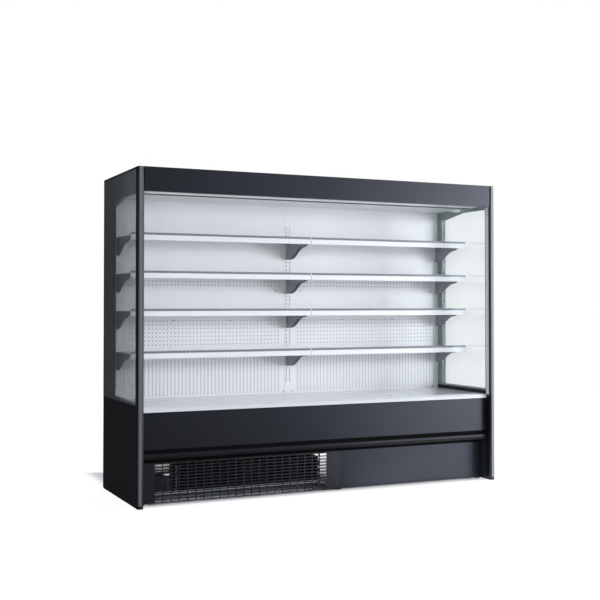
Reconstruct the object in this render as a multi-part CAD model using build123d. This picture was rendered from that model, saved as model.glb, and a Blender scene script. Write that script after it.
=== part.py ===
from build123d import *
import math
import os

# Open multideck display fridge, in millimetres. X runs along the front, Y to the back, Z up.
# The origin is on the floor, at the middle of the footprint.

# ---------------------------------------------------------------- overall sizes
WIDTH = 2500.0
DEPTH = 800.0
HEIGHT = 2000.0
END_WALL = 38.0  # thickness of each end wall
SHEET = 2.0  # folded sheet metal
RUNNING = 0.05  # radial clearance of a shaft in its bore
EASE = 0.3  # gap between close pieces that don't touch
PART_GAP = 4.0  # between a deck pan or shelf and its neighbour
EDGE_NEAR = 1.0  # an edge this close to a face counts as lying on it

# ---------------------------------------------------------------- levels
SKIRT_GAP = 8.0  # air under the end walls and the kick panels
TANK_Z = 290.0  # underside of the insulated tank
TANK_FLOOR = 40.0
DECK_Z = 583.0  # top of the deck pans
SILL_ABOVE_DECK = 15.0  # to the top of the solid end panel, where the side glass starts
FASCIA_HIGH = 144.0
CEILING_DROP = 134.0  # top of the cabinet to the underside of the inner ceiling
ROOF_THICK = 40.0

# ---------------------------------------------------------------- depths
TANK_SETBACK = 55.0  # front of the cabinet to the tank
TANK_WALL = 40.0
KICK_SETBACK = 110.0  # front of the cabinet to the kick panels
BACK_WALL = 50.0
DUCT_DEEP = 96.0  # front faces of the slotted uprights to the back wall
LINER_INSET = 2.0  # inner back panels behind the uprights' faces

# ---------------------------------------------------------------- end walls
STILE_DEPTH = 47.0
STILE_ROUND = 13.0
TRIM = 10.0  # black strip on the glass's top and rear edges
PANE = 5.0
WINDOW_SILL = 18.0  # spacer below the clear window
WINDOW_JAMB = 12.0  # spacer beside the stile
WINDOW_HEAD = 155.0  # top of the cabinet to the clear window
WINDOW_REAR = 195.0  # rear edge of the glass to the clear window
WINDOW_SLOPE = 235.0  # stretch of the window's top that slopes down to the rear
WINDOW_SLOPE_DROP = 36.0

# ---------------------------------------------------------------- base frame and feet
TUBE = 40.0  # square tube of the base frame
REAR_INSET = 10.0  # rear legs stand this far inside the back face
KICK_SPLIT_X = 120.0  # seam between the slotted and the plain kick panel
SILL_BAR = 30.0  # height of the low cross bars
FOOT_PAD_R = 22.0
FOOT_PAD_H = 7.0
FOOT_STUD_R = 6.0
FOOT_HEIGHT = 20.0  # floor to the underside of a leg, feet screwed in
FOOT_TRAVEL = 25.0
FOOT_PLATE = 5.0  # plate that closes a leg's lower end

# ---------------------------------------------------------------- kick panels
KICK_TOP_GAP = 5.0  # under the tank
SLOT_LONG = 45.0
SLOT_HIGH = 12.0
SLOT_PITCH_X = 52.0
SLOT_PITCH_Z = 19.4
SLOTS_INSET = 100.0  # left end wall to the first slot
SLOTS_END = 90.0  # least width of plain sheet beside the seam
SLOTS_BOTTOM_Z = 13.0
SLOTS_TOP = 40.0  # least height of plain sheet above the slots

# ---------------------------------------------------------------- lower front
FRONT_PANEL_LIFT = 45.0  # above the tank's underside
FRONT_PANEL_DEEP = 5.0
LIP_SETBACK = 42.0  # front of the cabinet to the white deck lip
LIP_HIGH = 25.0
LIP_DEPTH = 25.0
LIP_DROP = 3.0  # the lip's top lies this much under the deck
LIP_ROUND = 7.0
LIP_SHEET = 3.0
LIP_GROOVE = 6.0  # air slot between the lip and the deck pans
BUMPER_SETBACK = 41.0  # front of the cabinet to the rail
BUMPER_BELOW = 15.0  # the rail reaches this much under the tank
BUMPER_HIGH = 37.0
BUMPER_ROUND = 9.0
BUMPER_SEAM_X = 75.0
BUMPER_SEAM = 3.0
PAN_FLANGE = 23.0
RETURN_SLOT_LONG = 46.0  # return-air slots in a pan's front flange
RETURN_SLOT_HIGH = 13.0
RETURN_SLOT_PITCH = 60.0
RETURN_SLOT_END = 5.0  # least width of flange past the last slot
PAN_LEDGE = 24.0  # fold of the lower back panels that a pan's rear edge rests on
FINGER_R = 12.5
FINGER_INSET = 207.0  # front edge of a pan to its finger hole

# ---------------------------------------------------------------- uprights, shelves and brackets
UPRIGHT_WIDE = 50.0
END_UPRIGHT_WIDE = 34.0
UPRIGHT_DEEP = 30.0
COLUMN_X = 12.5  # slot columns of the middle upright, each side of the middle
PEG_PITCH = 26.0
PEG_SLOT_WIDE = 5.0
PEG_SLOT_HIGH = 13.0
PEG_FIRST = 91.0  # deck to the middle of the lowest slot
PEG_LAST = 150.0  # least height of plain upright above the slots
SHELF_LEVELS = 4
SLOTS_ABOVE = 4  # free slots above the top shelf's
LOWEST_SLOT = 8  # slot that the lowest shelf's brackets hook into
SHELF_ABOVE_SLOT = 9.0
SHELF_DEEP = 370.0
SHELF_DROP = 30.0
SHELF_STOP = 8.0
SHELF_BACK = 20.0
RAIL_HIGH = 32.0
RAIL_DEEP = 5.0
RAIL_LIP = 3.0
RAIL_RECESS = 1.0
BRACKET_THICK = 3.0
BRACKET_SETBACK = 58.0  # front of the shelf to the bracket's nose
BRACKET_NOSE = 22.0  # heights of a bracket below the shelf's top: nose, neck and foot
BRACKET_NECK = 43.0
BRACKET_HIGH = 119.0
BRACKET_NECK_BACK = 53.0  # nose to neck
BRACKET_FOOT = 19.0  # flat stretch at the upright
BRACKET_SWEEP = 0.48  # how far the curve from neck to foot runs level at its ends
PEG_DEEP = 8.0
PEG_HIGH = 10.0
LOWER_PEG = 4  # slots between a bracket's two pegs

# ---------------------------------------------------------------- inner back panels
LINER_MIDDLE = 290.0  # deck to the seam over the perforated lower panels
LINER_UPPER = 780.0  # deck to the seam under the plain upper panels

# ---------------------------------------------------------------- canopy
SOFFIT_DROP = 118.0  # top of the cabinet to the strip that carries the lamps
SOFFIT_SETBACK = 65.0
FASCIA_RETURN = 15.0
FASCIA_TOP_RETURN = 30.0
OUTLET_SETBACK = 185.0  # front of the cabinet to the air outlet
OUTLET_DEEP = 85.0
OUTLET_SHOWS = 4.0  # below the ceiling
OUTLET_HIGH = 25.0
OUTLET_CELL = 26.0
OUTLET_RIB = 3.0
LAMP_HIGH = 23.0
LAMP_INSET = 5.0  # behind the soffit's front edge
LAMP_DEEP = 100.0
LAMP_ROUND = 8.0
LAMP_END = 40.0  # from a lamp's outer end to the end wall
LAMP_SEAM = 6.0

# ---------------------------------------------------------------- night blinds
BLIND_ROLL_R = 19.7
BLIND_TUBE_R = 14.0
BLIND_TUBE_SHOWS = 6.0  # bare tube at each end of the rolled cloth
BLIND_SETBACK = 34.0  # front of the cabinet to the rollers' axis
BLIND_DROP = 88.0  # top of the cabinet to the rollers' axis
JOURNAL_R = 5.0
JOURNAL_SHORT = 0.5  # from a journal's tip to the far side of its bearing
BLIND_PLATE = 5.0  # bracket plate at each end wall
BLIND_MID_PLATE = 12.0  # middle bracket, shared by both rollers
BLIND_PLATE_HALF = 16.0
CLOTH = 0.45
BAR_DEEP = 14.0
BAR_HIGH = 22.0
BAR_LIFT = 2.0  # above the fascia's lower edge, blind rolled up
BAR_END_GAP = 8.0
BAR_ROUND = 4.0

# ---------------------------------------------------------------- lamp switch
SWITCH_INSET = 82.0  # right end wall to the middle of the switch
SWITCH_WIDE = 60.0
SWITCH_DEEP = 40.0
SWITCH_HIGH = 24.0
SWITCH_GAP_Y = 4.0  # behind the air outlet
ROCKER_HALF = 9.2
ROCKER_WIDE = 18.0
ROCKER_CREST = 7.5
ROCKER_EDGE = 3.5
ROCKER_TOP = 2.0
ROCKER_POCKET_R = 10.4
ROCKER_TILT = 12.0
ROCKER_PIN_R = 1.5
ROCKER_PIN_REACH = 3.0
ROCKER_SINK = 4.0  # pivot above the housing's lower face

# ---------------------------------------------------------------- fans
FAN_TIP_GAP = 4.0
FAN_SHAFT_R = 4.0
FAN_PITCH = 35.0
FAN_BLADE = 2.0
FAN_SHARE = 0.9  # part of a hub's depth that a blade takes up
FAN_ARM = 10.0
FAN_ARM_THICK = 4.0
FAN_ARM_LAP = 12.0  # an arm's foot past the edge of the opening
FAN_END_PLAY = 1.0

# ---------------------------------------------------------------- air circuit in the tank
FAN_PLATE_BACK = 205.0  # tank's front wall to the fan plate
TANK_FAN_X = 600.0
TANK_FAN_R = 100.0
TANK_HUB_R = 38.0
TANK_FAN_DEEP = 34.0
TANK_FAN_BLADES = 7
TANK_MOTOR_R = 42.0
TANK_MOTOR_LONG = 60.0
EVAP_INSET = 112.0  # end wall to the coil
EVAP_REAR_GAP = 110.0  # coil to the back wall
EVAP_DEEP = 180.0
EVAP_TOP_GAP = 48.0  # coil to the deck
END_PLATE = 3.0
END_PLATE_PROUD = 8.0

# ---------------------------------------------------------------- condensing unit
TRAY_INSET = 32.0  # left end wall to the tray
TRAY_LIP = 15.0
TRAY_FRONT_GAP = 3.0  # behind the front legs
TRAY_REAR_GAP = 20.0  # in front of the rear legs
COND_GAP = 52.0  # supply box to the coil
COND_END_GAP = 126.0  # coil to the seam of the kick panels
COND_SETBACK = 20.0  # front of the tray to the coil
COND_DEEP = 60.0
COND_HIGH = 165.0
SHROUD_DEEP = 45.0
COND_FAN_X = 230.0  # each fan from the middle of the coil
COND_FAN_R = 66.0
COND_HUB_R = 24.0
COND_FAN_DEEP = 24.0
COND_FAN_BLADES = 5
COND_MOTOR_R = 30.0
COND_MOTOR_LONG = 45.0
COMP_X = -300.0
COMP_SETBACK = 190.0  # rear of the tray to the compressor's middle
COMP_R = 82.0
COMP_HIGH = 170.0
COMP_DOME = 34.0
COMP_PLATE_X = 210.0
COMP_PLATE_Y = 150.0
COMP_PLATE = 3.0
GROMMET_R = 11.0
GROMMET_HIGH = 12.0
GROMMET_INSET = 18.0
TERMINAL_WIDE = 60.0
TERMINAL_HIGH = 55.0
TERMINAL_DEEP = 38.0
BOX_INSET = 30.0  # left edge of the tray to the supply box
BOX_SETBACK = 10.0  # front of the tray to the supply box
BOX_WIDE = 130.0
BOX_DEEP = 120.0
BOX_HIGH = 105.0
BOX_ROUND = 4.0
GLAND_R = 12.0
GLAND_BORE_R = 5.0
GLAND_LONG = 24.0

# ---------------------------------------------------------------- places worked out: body and end walls
X_OUT = WIDTH / 2
X_IN = X_OUT - END_WALL
Y_FRONT = -DEPTH / 2
Y_BACK = DEPTH / 2
Y_GLASS = Y_FRONT + STILE_DEPTH
Y_GLASS_REAR = Y_BACK - TRIM
Y_WALL = Y_BACK - BACK_WALL
UPRIGHT_Y = Y_WALL - DUCT_DEEP
TANK_FRONT_Y = Y_FRONT + TANK_SETBACK
KICK_Y = Y_FRONT + KICK_SETBACK
TANK_TOP_Z = TANK_Z + TANK_FLOOR
TANK_RIM_Z = DECK_Z - PAN_FLANGE
SILL_Z = DECK_Z + SILL_ABOVE_DECK
KICK_TOP_Z = TANK_Z - KICK_TOP_GAP
ROOF_Z = HEIGHT - ROOF_THICK
FASCIA_Z = HEIGHT - FASCIA_HIGH
CEILING_Z = HEIGHT - CEILING_DROP
SOFFIT_Z = HEIGHT - SOFFIT_DROP
GLASS_TOP_Z = HEIGHT - TRIM
WINDOW_TOP_Z = HEIGHT - WINDOW_HEAD
WINDOW_REAR_Y = Y_GLASS_REAR - WINDOW_REAR
WINDOW_SLOPE_Y = WINDOW_REAR_Y - WINDOW_SLOPE
BAY_X = (PART_GAP / 2, X_IN - PART_GAP)

# ---------------------------------------------------------------- places worked out: base and lower front
LEG_X = (-(X_IN - TUBE / 2), KICK_SPLIT_X, X_IN - TUBE / 2)
LEG_Y = (KICK_Y + SHEET + TUBE / 2, Y_BACK - REAR_INSET - TUBE / 2)
SLOTS_LEFT_X = -X_IN + SLOTS_INSET
SLOT_COLUMNS = 1 + int((KICK_SPLIT_X - SLOTS_END - SLOT_LONG - SLOTS_LEFT_X) // SLOT_PITCH_X)
SLOT_ROWS = 1 + int((KICK_TOP_Z - SLOTS_TOP - SLOT_HIGH - SLOTS_BOTTOM_Z) // SLOT_PITCH_Z)
FRONT_PANEL_Z = TANK_Z + FRONT_PANEL_LIFT
LIP_Y = Y_FRONT + LIP_SETBACK
LIP_TOP_Z = DECK_Z - LIP_DROP
LIP_Z = LIP_TOP_Z - LIP_HIGH
BUMPER_Y = Y_FRONT + BUMPER_SETBACK
BUMPER_Z = TANK_Z - BUMPER_BELOW
PAN_FRONT_Y = LIP_Y + LIP_DEPTH + LIP_GROOVE
FINGER_Y = PAN_FRONT_Y + FINGER_INSET
RETURN_SLOTS_WIDE = BAY_X[1] - BAY_X[0] - 2 * RETURN_SLOT_END
RETURN_SLOTS = 1 + int((RETURN_SLOTS_WIDE - RETURN_SLOT_LONG) // RETURN_SLOT_PITCH)

# ---------------------------------------------------------------- places worked out: shelves
END_COLUMN_X = X_IN - END_UPRIGHT_WIDE / 2
PEG_FIRST_Z = DECK_Z + PEG_FIRST
PEG_ROWS = 1 + int((CEILING_Z - PEG_LAST - PEG_FIRST_Z) // PEG_PITCH)
TOP_SLOT = PEG_ROWS - 1 - SLOTS_ABOVE
SHELF_STEP = (TOP_SLOT - LOWEST_SLOT) // (SHELF_LEVELS - 1)
SHELF_SLOTS = [TOP_SLOT - level * SHELF_STEP for level in range(SHELF_LEVELS - 1)] + [LOWEST_SLOT]
SHELF_Z = [PEG_FIRST_Z + slot * PEG_PITCH + SHELF_ABOVE_SLOT for slot in SHELF_SLOTS]
SHELF_FRONT_Y = UPRIGHT_Y - SHELF_DEEP
RAIL_Y = SHELF_FRONT_Y - RAIL_DEEP
BRACKET_NOSE_Y = SHELF_FRONT_Y + BRACKET_SETBACK
LINER_MIDDLE_Z = DECK_Z + LINER_MIDDLE
LINER_UPPER_Z = DECK_Z + LINER_UPPER

# ---------------------------------------------------------------- places worked out: canopy
SOFFIT_FRONT_Y = Y_FRONT + SOFFIT_SETBACK
OUTLET_FRONT_Y = Y_FRONT + OUTLET_SETBACK
OUTLET_REAR_Y = OUTLET_FRONT_Y + OUTLET_DEEP
OUTLET_Z = CEILING_Z - OUTLET_SHOWS
LAMP_FRONT_Y = SOFFIT_FRONT_Y + LAMP_INSET
LAMP_Z = SOFFIT_Z - LAMP_HIGH
BLIND_X = (BLIND_MID_PLATE / 2 + EASE, X_IN - BLIND_PLATE - EASE)
BLIND_AXIS_Y = Y_FRONT + BLIND_SETBACK
BLIND_AXIS_Z = HEIGHT - BLIND_DROP
CLOTH_Y = BLIND_AXIS_Y + BLIND_ROLL_R + EASE
BAR_Z = FASCIA_Z + BAR_LIFT
SWITCH_X = X_IN - SWITCH_INSET
SWITCH_Y = OUTLET_REAR_Y + SWITCH_GAP_Y + SWITCH_DEEP / 2
SWITCH_Z = CEILING_Z - SWITCH_HIGH
ROCKER_Z = SWITCH_Z + ROCKER_SINK

# ---------------------------------------------------------------- places worked out: machinery
FAN_PLATE_Y = TANK_FRONT_Y + TANK_WALL + FAN_PLATE_BACK
TANK_FAN_Z = (TANK_TOP_Z + DECK_Z) / 2
EVAP_X = X_IN - EVAP_INSET
EVAP_REAR_Y = Y_WALL - EVAP_REAR_GAP
EVAP_TOP_Z = DECK_Z - EVAP_TOP_GAP
TRAY_Z = FOOT_HEIGHT + SILL_BAR
TRAY_TOP_Z = TRAY_Z + SHEET
TRAY_LEFT_X = -X_IN + TRAY_INSET
TRAY_FRONT_Y = LEG_Y[0] + TUBE / 2 + TRAY_FRONT_GAP
TRAY_REAR_Y = LEG_Y[1] - TUBE / 2 - TRAY_REAR_GAP
BOX_LEFT_X = TRAY_LEFT_X + BOX_INSET
BOX_FRONT_Y = TRAY_FRONT_Y + BOX_SETBACK
COND_LEFT_X = BOX_LEFT_X + BOX_WIDE + COND_GAP
COND_RIGHT_X = KICK_SPLIT_X - COND_END_GAP
COND_MID_X = (COND_LEFT_X + COND_RIGHT_X) / 2
COND_FRONT_Y = TRAY_FRONT_Y + COND_SETBACK
COND_FAN_Z = TRAY_TOP_Z + COND_HIGH / 2
SHROUD_PLATE_Y = COND_FRONT_Y + COND_DEEP + SHROUD_DEEP - SHEET
COMP_Y = TRAY_REAR_Y - COMP_SETBACK


# ================================================================ helpers
def block(x0, x1, y0, y1, z0, z1):
    """A box between two corners."""
    middle = Pos((x0 + x1) / 2, (y0 + y1) / 2, (z0 + z1) / 2)
    return middle * Box(x1 - x0, y1 - y0, z1 - z0)


def rod_x(y, z, radius, x0, x1):
    """A round bar along X."""
    return Pos((x0 + x1) / 2, y, z) * Rot(0, 90, 0) * Cylinder(radius, x1 - x0)


def rod_y(x, z, radius, y0, y1):
    """A round bar along Y."""
    return Pos(x, (y0 + y1) / 2, z) * Rot(90, 0, 0) * Cylinder(radius, y1 - y0)


def rod_z(x, y, radius, z0, z1):
    """An upright round bar."""
    return Pos(x, y, (z0 + z1) / 2) * Cylinder(radius, z1 - z0)


def prism_x(outline, x0, x1):
    """A closed (Y, Z) outline of straight sides, pushed along X."""
    face = Plane.YZ * make_face(Polyline(*outline, close=True))
    return Pos(x0, 0, 0) * extrude(face, x1 - x0)


def upright_sheet(sketch, y0, thick):
    """An (X, Z) sketch as a standing sheet whose front face is at y0."""
    return Pos(0, y0 + thick, 0) * extrude(Plane.XZ * sketch, thick)


def rounded(shape, axis, radius, wanted):
    """Rounds the edges along an axis that the test picks by their middle point."""
    picked = [edge for edge in shape.edges().filter_by(axis) if wanted(edge.center())]
    return fillet(picked, radius)


def flip(shape):
    """The same piece at the other end of the cabinet."""
    return mirror(shape, about=Plane.YZ)


def both(solids):
    """Right-hand pieces together with their mirror images."""
    return solids + [flip(solid) for solid in solids]


def save(name, *solids):
    """Writes one node: a single piece, or a group of like pieces."""
    shape = solids[0] if len(solids) == 1 else Compound(children=list(solids))
    export_step(shape, f"parts/{name}.step")


# ================================================================ base
def leg(x, y):
    """Square tube leg with a closed top and a thick lower plate, bored for its foot."""
    half = TUBE / 2
    inner = half - SHEET
    outside = block(x - half, x + half, y - half, y + half, FOOT_HEIGHT, TANK_Z - TUBE)
    plate_z = FOOT_HEIGHT + FOOT_PLATE
    hollow = block(x - inner, x + inner, y - inner, y + inner, plate_z, TANK_Z - TUBE - SHEET)
    bore = rod_z(x, y, FOOT_STUD_R + RUNNING, FOOT_HEIGHT - SHEET, plate_z + SHEET)
    return outside - hollow - bore


def base_frame():
    """Six legs, three low cross bars and the two beams that carry the tank."""
    half = TUBE / 2
    pieces = [leg(x, y) for x in LEG_X for y in LEG_Y]
    for x in LEG_X:
        pieces.append(block(x - half, x + half, LEG_Y[0] + half, LEG_Y[1] - half, FOOT_HEIGHT, TRAY_Z))
    for y in LEG_Y:
        pieces.append(block(-X_IN, X_IN, y - half, y + half, TANK_Z - TUBE, TANK_Z))
    return pieces


def levelling_foot(x, y):
    """A round pad on a threaded stud, which screws through the leg's lower plate."""
    pad = rod_z(x, y, FOOT_PAD_R, 0, FOOT_PAD_H)
    pad = fillet(pad.edges().group_by(Axis.Z)[-1], FOOT_PAD_H / 3)
    stud = rod_z(x, y, FOOT_STUD_R, FOOT_PAD_H / 2, FOOT_HEIGHT + FOOT_PLATE + FOOT_TRAVEL + FOOT_PAD_H)
    return pad + stud


def machine_tray():
    """Tray on the low cross bars, with upturned front and rear edges."""
    right_x = KICK_SPLIT_X + TUBE / 2
    floor = block(TRAY_LEFT_X, right_x, TRAY_FRONT_Y, TRAY_REAR_Y, TRAY_Z, TRAY_TOP_Z)
    front = block(TRAY_LEFT_X, right_x, TRAY_FRONT_Y, TRAY_FRONT_Y + SHEET, TRAY_Z, TRAY_Z + TRAY_LIP)
    rear = block(TRAY_LEFT_X, right_x, TRAY_REAR_Y - SHEET, TRAY_REAR_Y, TRAY_Z, TRAY_Z + TRAY_LIP)
    return floor + front + rear


def kick_plate():
    """Plain kick panel on the right."""
    return block(KICK_SPLIT_X + EASE / 2, X_IN, KICK_Y, KICK_Y + SHEET, SKIRT_GAP, KICK_TOP_Z)


def kick_grille():
    """Kick panel in front of the condenser, with rows of short slots."""
    left_x = -X_IN
    right_x = KICK_SPLIT_X - EASE / 2
    slots_x = SLOTS_LEFT_X + ((SLOT_COLUMNS - 1) * SLOT_PITCH_X + SLOT_LONG) / 2
    slots_z = SLOTS_BOTTOM_Z + ((SLOT_ROWS - 1) * SLOT_PITCH_Z + SLOT_HIGH) / 2
    outline = Pos((left_x + right_x) / 2, (SKIRT_GAP + KICK_TOP_Z) / 2)
    outline *= Rectangle(right_x - left_x, KICK_TOP_Z - SKIRT_GAP)
    grid = GridLocations(SLOT_PITCH_X, SLOT_PITCH_Z, SLOT_COLUMNS, SLOT_ROWS)
    slots = [Pos(slots_x, slots_z) * place * Rectangle(SLOT_LONG, SLOT_HIGH) for place in grid]
    return upright_sheet(outline - slots, KICK_Y, SHEET)


# ================================================================ insulated body
def tank():
    """Foamed floor and front wall of the tank under the deck."""
    floor = block(-X_IN, X_IN, TANK_FRONT_Y, Y_WALL, TANK_Z, TANK_TOP_Z)
    front = block(-X_IN, X_IN, TANK_FRONT_Y, TANK_FRONT_Y + TANK_WALL, TANK_TOP_Z, TANK_RIM_Z)
    return [floor, front]


def back_wall():
    """Foamed back wall, from the rear beam to the roof."""
    return block(-X_IN, X_IN, Y_WALL, Y_BACK, TANK_Z, ROOF_Z)


def roof_panel():
    """Foamed roof between the end walls."""
    return block(-X_IN, X_IN, Y_FRONT + FASCIA_TOP_RETURN, Y_BACK, ROOF_Z, HEIGHT)


def fascia():
    """Folded sheet in front of the canopy."""
    front = block(-X_IN, X_IN, Y_FRONT, Y_FRONT + SHEET, FASCIA_Z, HEIGHT)
    lower = block(-X_IN, X_IN, Y_FRONT, Y_FRONT + FASCIA_RETURN, FASCIA_Z, FASCIA_Z + SHEET)
    upper = block(-X_IN, X_IN, Y_FRONT, Y_FRONT + FASCIA_TOP_RETURN, HEIGHT - SHEET, HEIGHT)
    return front + lower + upper


def front_panel():
    """Black pan-shaped sheet over the tank's front wall, open at its back."""
    front_y = TANK_FRONT_Y - FRONT_PANEL_DEEP
    outside = block(-X_IN, X_IN, front_y, TANK_FRONT_Y, FRONT_PANEL_Z, LIP_Z)
    hollow = block(
        -X_IN + SHEET, X_IN - SHEET, front_y + SHEET, TANK_FRONT_Y, FRONT_PANEL_Z + SHEET, LIP_Z - SHEET
    )
    return outside - hollow


def deck_lip():
    """White folded edge hooked over the tank's front wall, round at the front."""
    rear_y = LIP_Y + LIP_DEPTH
    outside = block(-X_IN, X_IN, LIP_Y, rear_y, LIP_Z, LIP_TOP_Z)
    middle_z = (LIP_Z + LIP_TOP_Z) / 2
    outside = rounded(
        outside, Axis.X, LIP_ROUND,
        lambda p: p.Y < LIP_Y + EDGE_NEAR and p.Z > middle_z,
    )
    hollow = block(-X_IN, X_IN, LIP_Y + LIP_SHEET, rear_y - LIP_SHEET, LIP_Z, LIP_TOP_Z - LIP_SHEET)
    hollow = rounded(
        hollow, Axis.X, LIP_ROUND - LIP_SHEET,
        lambda p: p.Y < LIP_Y + LIP_SHEET + EDGE_NEAR and p.Z > middle_z,
    )
    below_rim = block(-X_IN, X_IN, LIP_Y + LIP_SHEET, rear_y, LIP_Z, TANK_RIM_Z)
    return outside - hollow - below_rim


def bumper(x0, x1):
    """Round-fronted rail on the tank's lower front edge."""
    rail = block(x0, x1, BUMPER_Y, TANK_FRONT_Y, BUMPER_Z, BUMPER_Z + BUMPER_HIGH)
    return rounded(rail, Axis.X, BUMPER_ROUND, lambda p: p.Y < BUMPER_Y + EDGE_NEAR)


def deck_pan():
    """One bay's deck, folded down at its front and rear, with a finger hole to lift it."""
    x0, x1 = BAY_X
    middle_x = (x0 + x1) / 2
    top = block(x0, x1, PAN_FRONT_Y, UPRIGHT_Y, DECK_Z - SHEET, DECK_Z)
    finger = rod_z(middle_x, FINGER_Y, FINGER_R, DECK_Z - 2 * SHEET, DECK_Z + SHEET)
    rear = block(x0, x1, UPRIGHT_Y - SHEET, UPRIGHT_Y, TANK_RIM_Z, DECK_Z)
    middle = Pos(middle_x, (TANK_RIM_Z + DECK_Z) / 2)
    slots = [
        middle * place * Rectangle(RETURN_SLOT_LONG, RETURN_SLOT_HIGH)
        for place in GridLocations(RETURN_SLOT_PITCH, 0, RETURN_SLOTS, 1)
    ]
    flange = middle * Rectangle(x1 - x0, PAN_FLANGE) - slots
    return top - finger + rear + upright_sheet(flange, PAN_FRONT_Y, SHEET)


# ================================================================ end walls
def side_panel():
    """Solid lower part of the right end wall."""
    return block(X_IN, X_OUT, Y_GLASS, Y_BACK, SKIRT_GAP, SILL_Z)


def side_glass():
    """Inner and outer pane of the right end wall."""
    inner = block(X_IN, X_IN + PANE, Y_GLASS, Y_GLASS_REAR, SILL_Z, GLASS_TOP_Z)
    outer = block(X_OUT - PANE, X_OUT, Y_GLASS, Y_GLASS_REAR, SILL_Z, GLASS_TOP_Z)
    return [inner, outer]


def window_border():
    """Filling between the panes, around the clear window, in four bars."""
    x0 = X_IN + PANE
    x1 = X_OUT - PANE
    sill_top = SILL_Z + WINDOW_SILL
    sill = block(x0, x1, Y_GLASS, Y_GLASS_REAR, SILL_Z, sill_top)
    jamb = block(x0, x1, Y_GLASS, Y_GLASS + WINDOW_JAMB, sill_top, WINDOW_TOP_Z)
    rear = block(x0, x1, WINDOW_REAR_Y, Y_GLASS_REAR, sill_top, GLASS_TOP_Z)
    head = prism_x(
        [
            (Y_GLASS, WINDOW_TOP_Z),
            (WINDOW_SLOPE_Y, WINDOW_TOP_Z),
            (WINDOW_REAR_Y, WINDOW_TOP_Z - WINDOW_SLOPE_DROP),
            (WINDOW_REAR_Y, GLASS_TOP_Z),
            (Y_GLASS, GLASS_TOP_Z),
        ],
        x0, x1,
    )
    return [sill, jamb, rear, head]


def side_trim():
    """Black strips over the rear and top edges of the glass."""
    rear = block(X_IN, X_OUT, Y_GLASS_REAR, Y_BACK, SILL_Z, HEIGHT)
    top = block(X_IN, X_OUT, Y_GLASS, Y_GLASS_REAR, GLASS_TOP_Z, HEIGHT)
    return [rear, top]


def stile():
    """Aluminium profile down the front edge of the right end wall."""
    bar = block(X_IN, X_OUT, Y_FRONT, Y_GLASS, SKIRT_GAP, HEIGHT)
    return rounded(bar, Axis.Z, STILE_ROUND, lambda p: p.Y < Y_FRONT + EDGE_NEAR)


# ================================================================ uprights, shelves, back panels
def upright(x, wide, columns):
    """Channel open to the back, with slot columns in its front."""
    slots_z = PEG_FIRST_Z + (PEG_ROWS - 1) * PEG_PITCH / 2
    outline = Pos(x, (TANK_TOP_Z + CEILING_Z) / 2) * Rectangle(wide, CEILING_Z - TANK_TOP_Z)
    slots = [
        Pos(column, slots_z) * place * Rectangle(PEG_SLOT_WIDE, PEG_SLOT_HIGH)
        for column in columns
        for place in GridLocations(0, PEG_PITCH, 1, PEG_ROWS)
    ]
    shape = upright_sheet(outline - slots, UPRIGHT_Y, SHEET)
    for edge_x in (x - wide / 2, x + wide / 2 - SHEET):
        shape += block(edge_x, edge_x + SHEET, UPRIGHT_Y, UPRIGHT_Y + UPRIGHT_DEEP, TANK_TOP_Z, CEILING_Z)
    return shape


def uprights():
    """The middle upright with two slot columns, and one with a single column at each end."""
    right = upright(END_COLUMN_X, END_UPRIGHT_WIDE, [END_COLUMN_X])
    return [upright(0, UPRIGHT_WIDE, [-COLUMN_X, COLUMN_X]), right, flip(right)]


def back_panel(z0, z1):
    """One bay's inner back panel between two uprights."""
    y0 = UPRIGHT_Y + LINER_INSET
    return block(UPRIGHT_WIDE / 2, X_IN - END_UPRIGHT_WIDE, y0, y0 + SHEET, z0, z1)


def back_panels():
    """Three panels above each other; the lowest has a ledge for the deck pan's rear edge."""
    rear_y = UPRIGHT_Y + LINER_INSET + SHEET
    x0, x1 = UPRIGHT_WIDE / 2, X_IN - END_UPRIGHT_WIDE
    ledge = block(x0, x1, rear_y - PAN_LEDGE, rear_y, TANK_RIM_Z - SHEET, TANK_RIM_Z)
    lower = back_panel(TANK_RIM_Z - SHEET, LINER_MIDDLE_Z) + ledge
    middle = back_panel(LINER_MIDDLE_Z, LINER_UPPER_Z)
    upper = back_panel(LINER_UPPER_Z, CEILING_Z)
    return [lower, middle, upper]


def shelf(top_z):
    """Sheet shelf with a front fold, a low front stop and an upturned rear edge."""
    x0, x1 = BAY_X
    tray = block(x0, x1, SHELF_FRONT_Y, UPRIGHT_Y, top_z - SHEET, top_z)
    fold = block(x0, x1, SHELF_FRONT_Y, SHELF_FRONT_Y + SHEET, top_z - SHELF_DROP, top_z + SHELF_STOP)
    back = block(x0, x1, UPRIGHT_Y - SHEET, UPRIGHT_Y, top_z - SHEET, top_z + SHELF_BACK)
    return tray + fold + back


def price_rail(top_z):
    """Label rail on a shelf's front fold, with a shallow recess between two lips."""
    x0, x1 = BAY_X
    rail = block(x0, x1, RAIL_Y, SHELF_FRONT_Y, top_z - RAIL_HIGH, top_z)
    recess = block(x0, x1, RAIL_Y, RAIL_Y + RAIL_RECESS, top_z - RAIL_HIGH + RAIL_LIP, top_z - RAIL_LIP)
    return rail - recess


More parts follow.
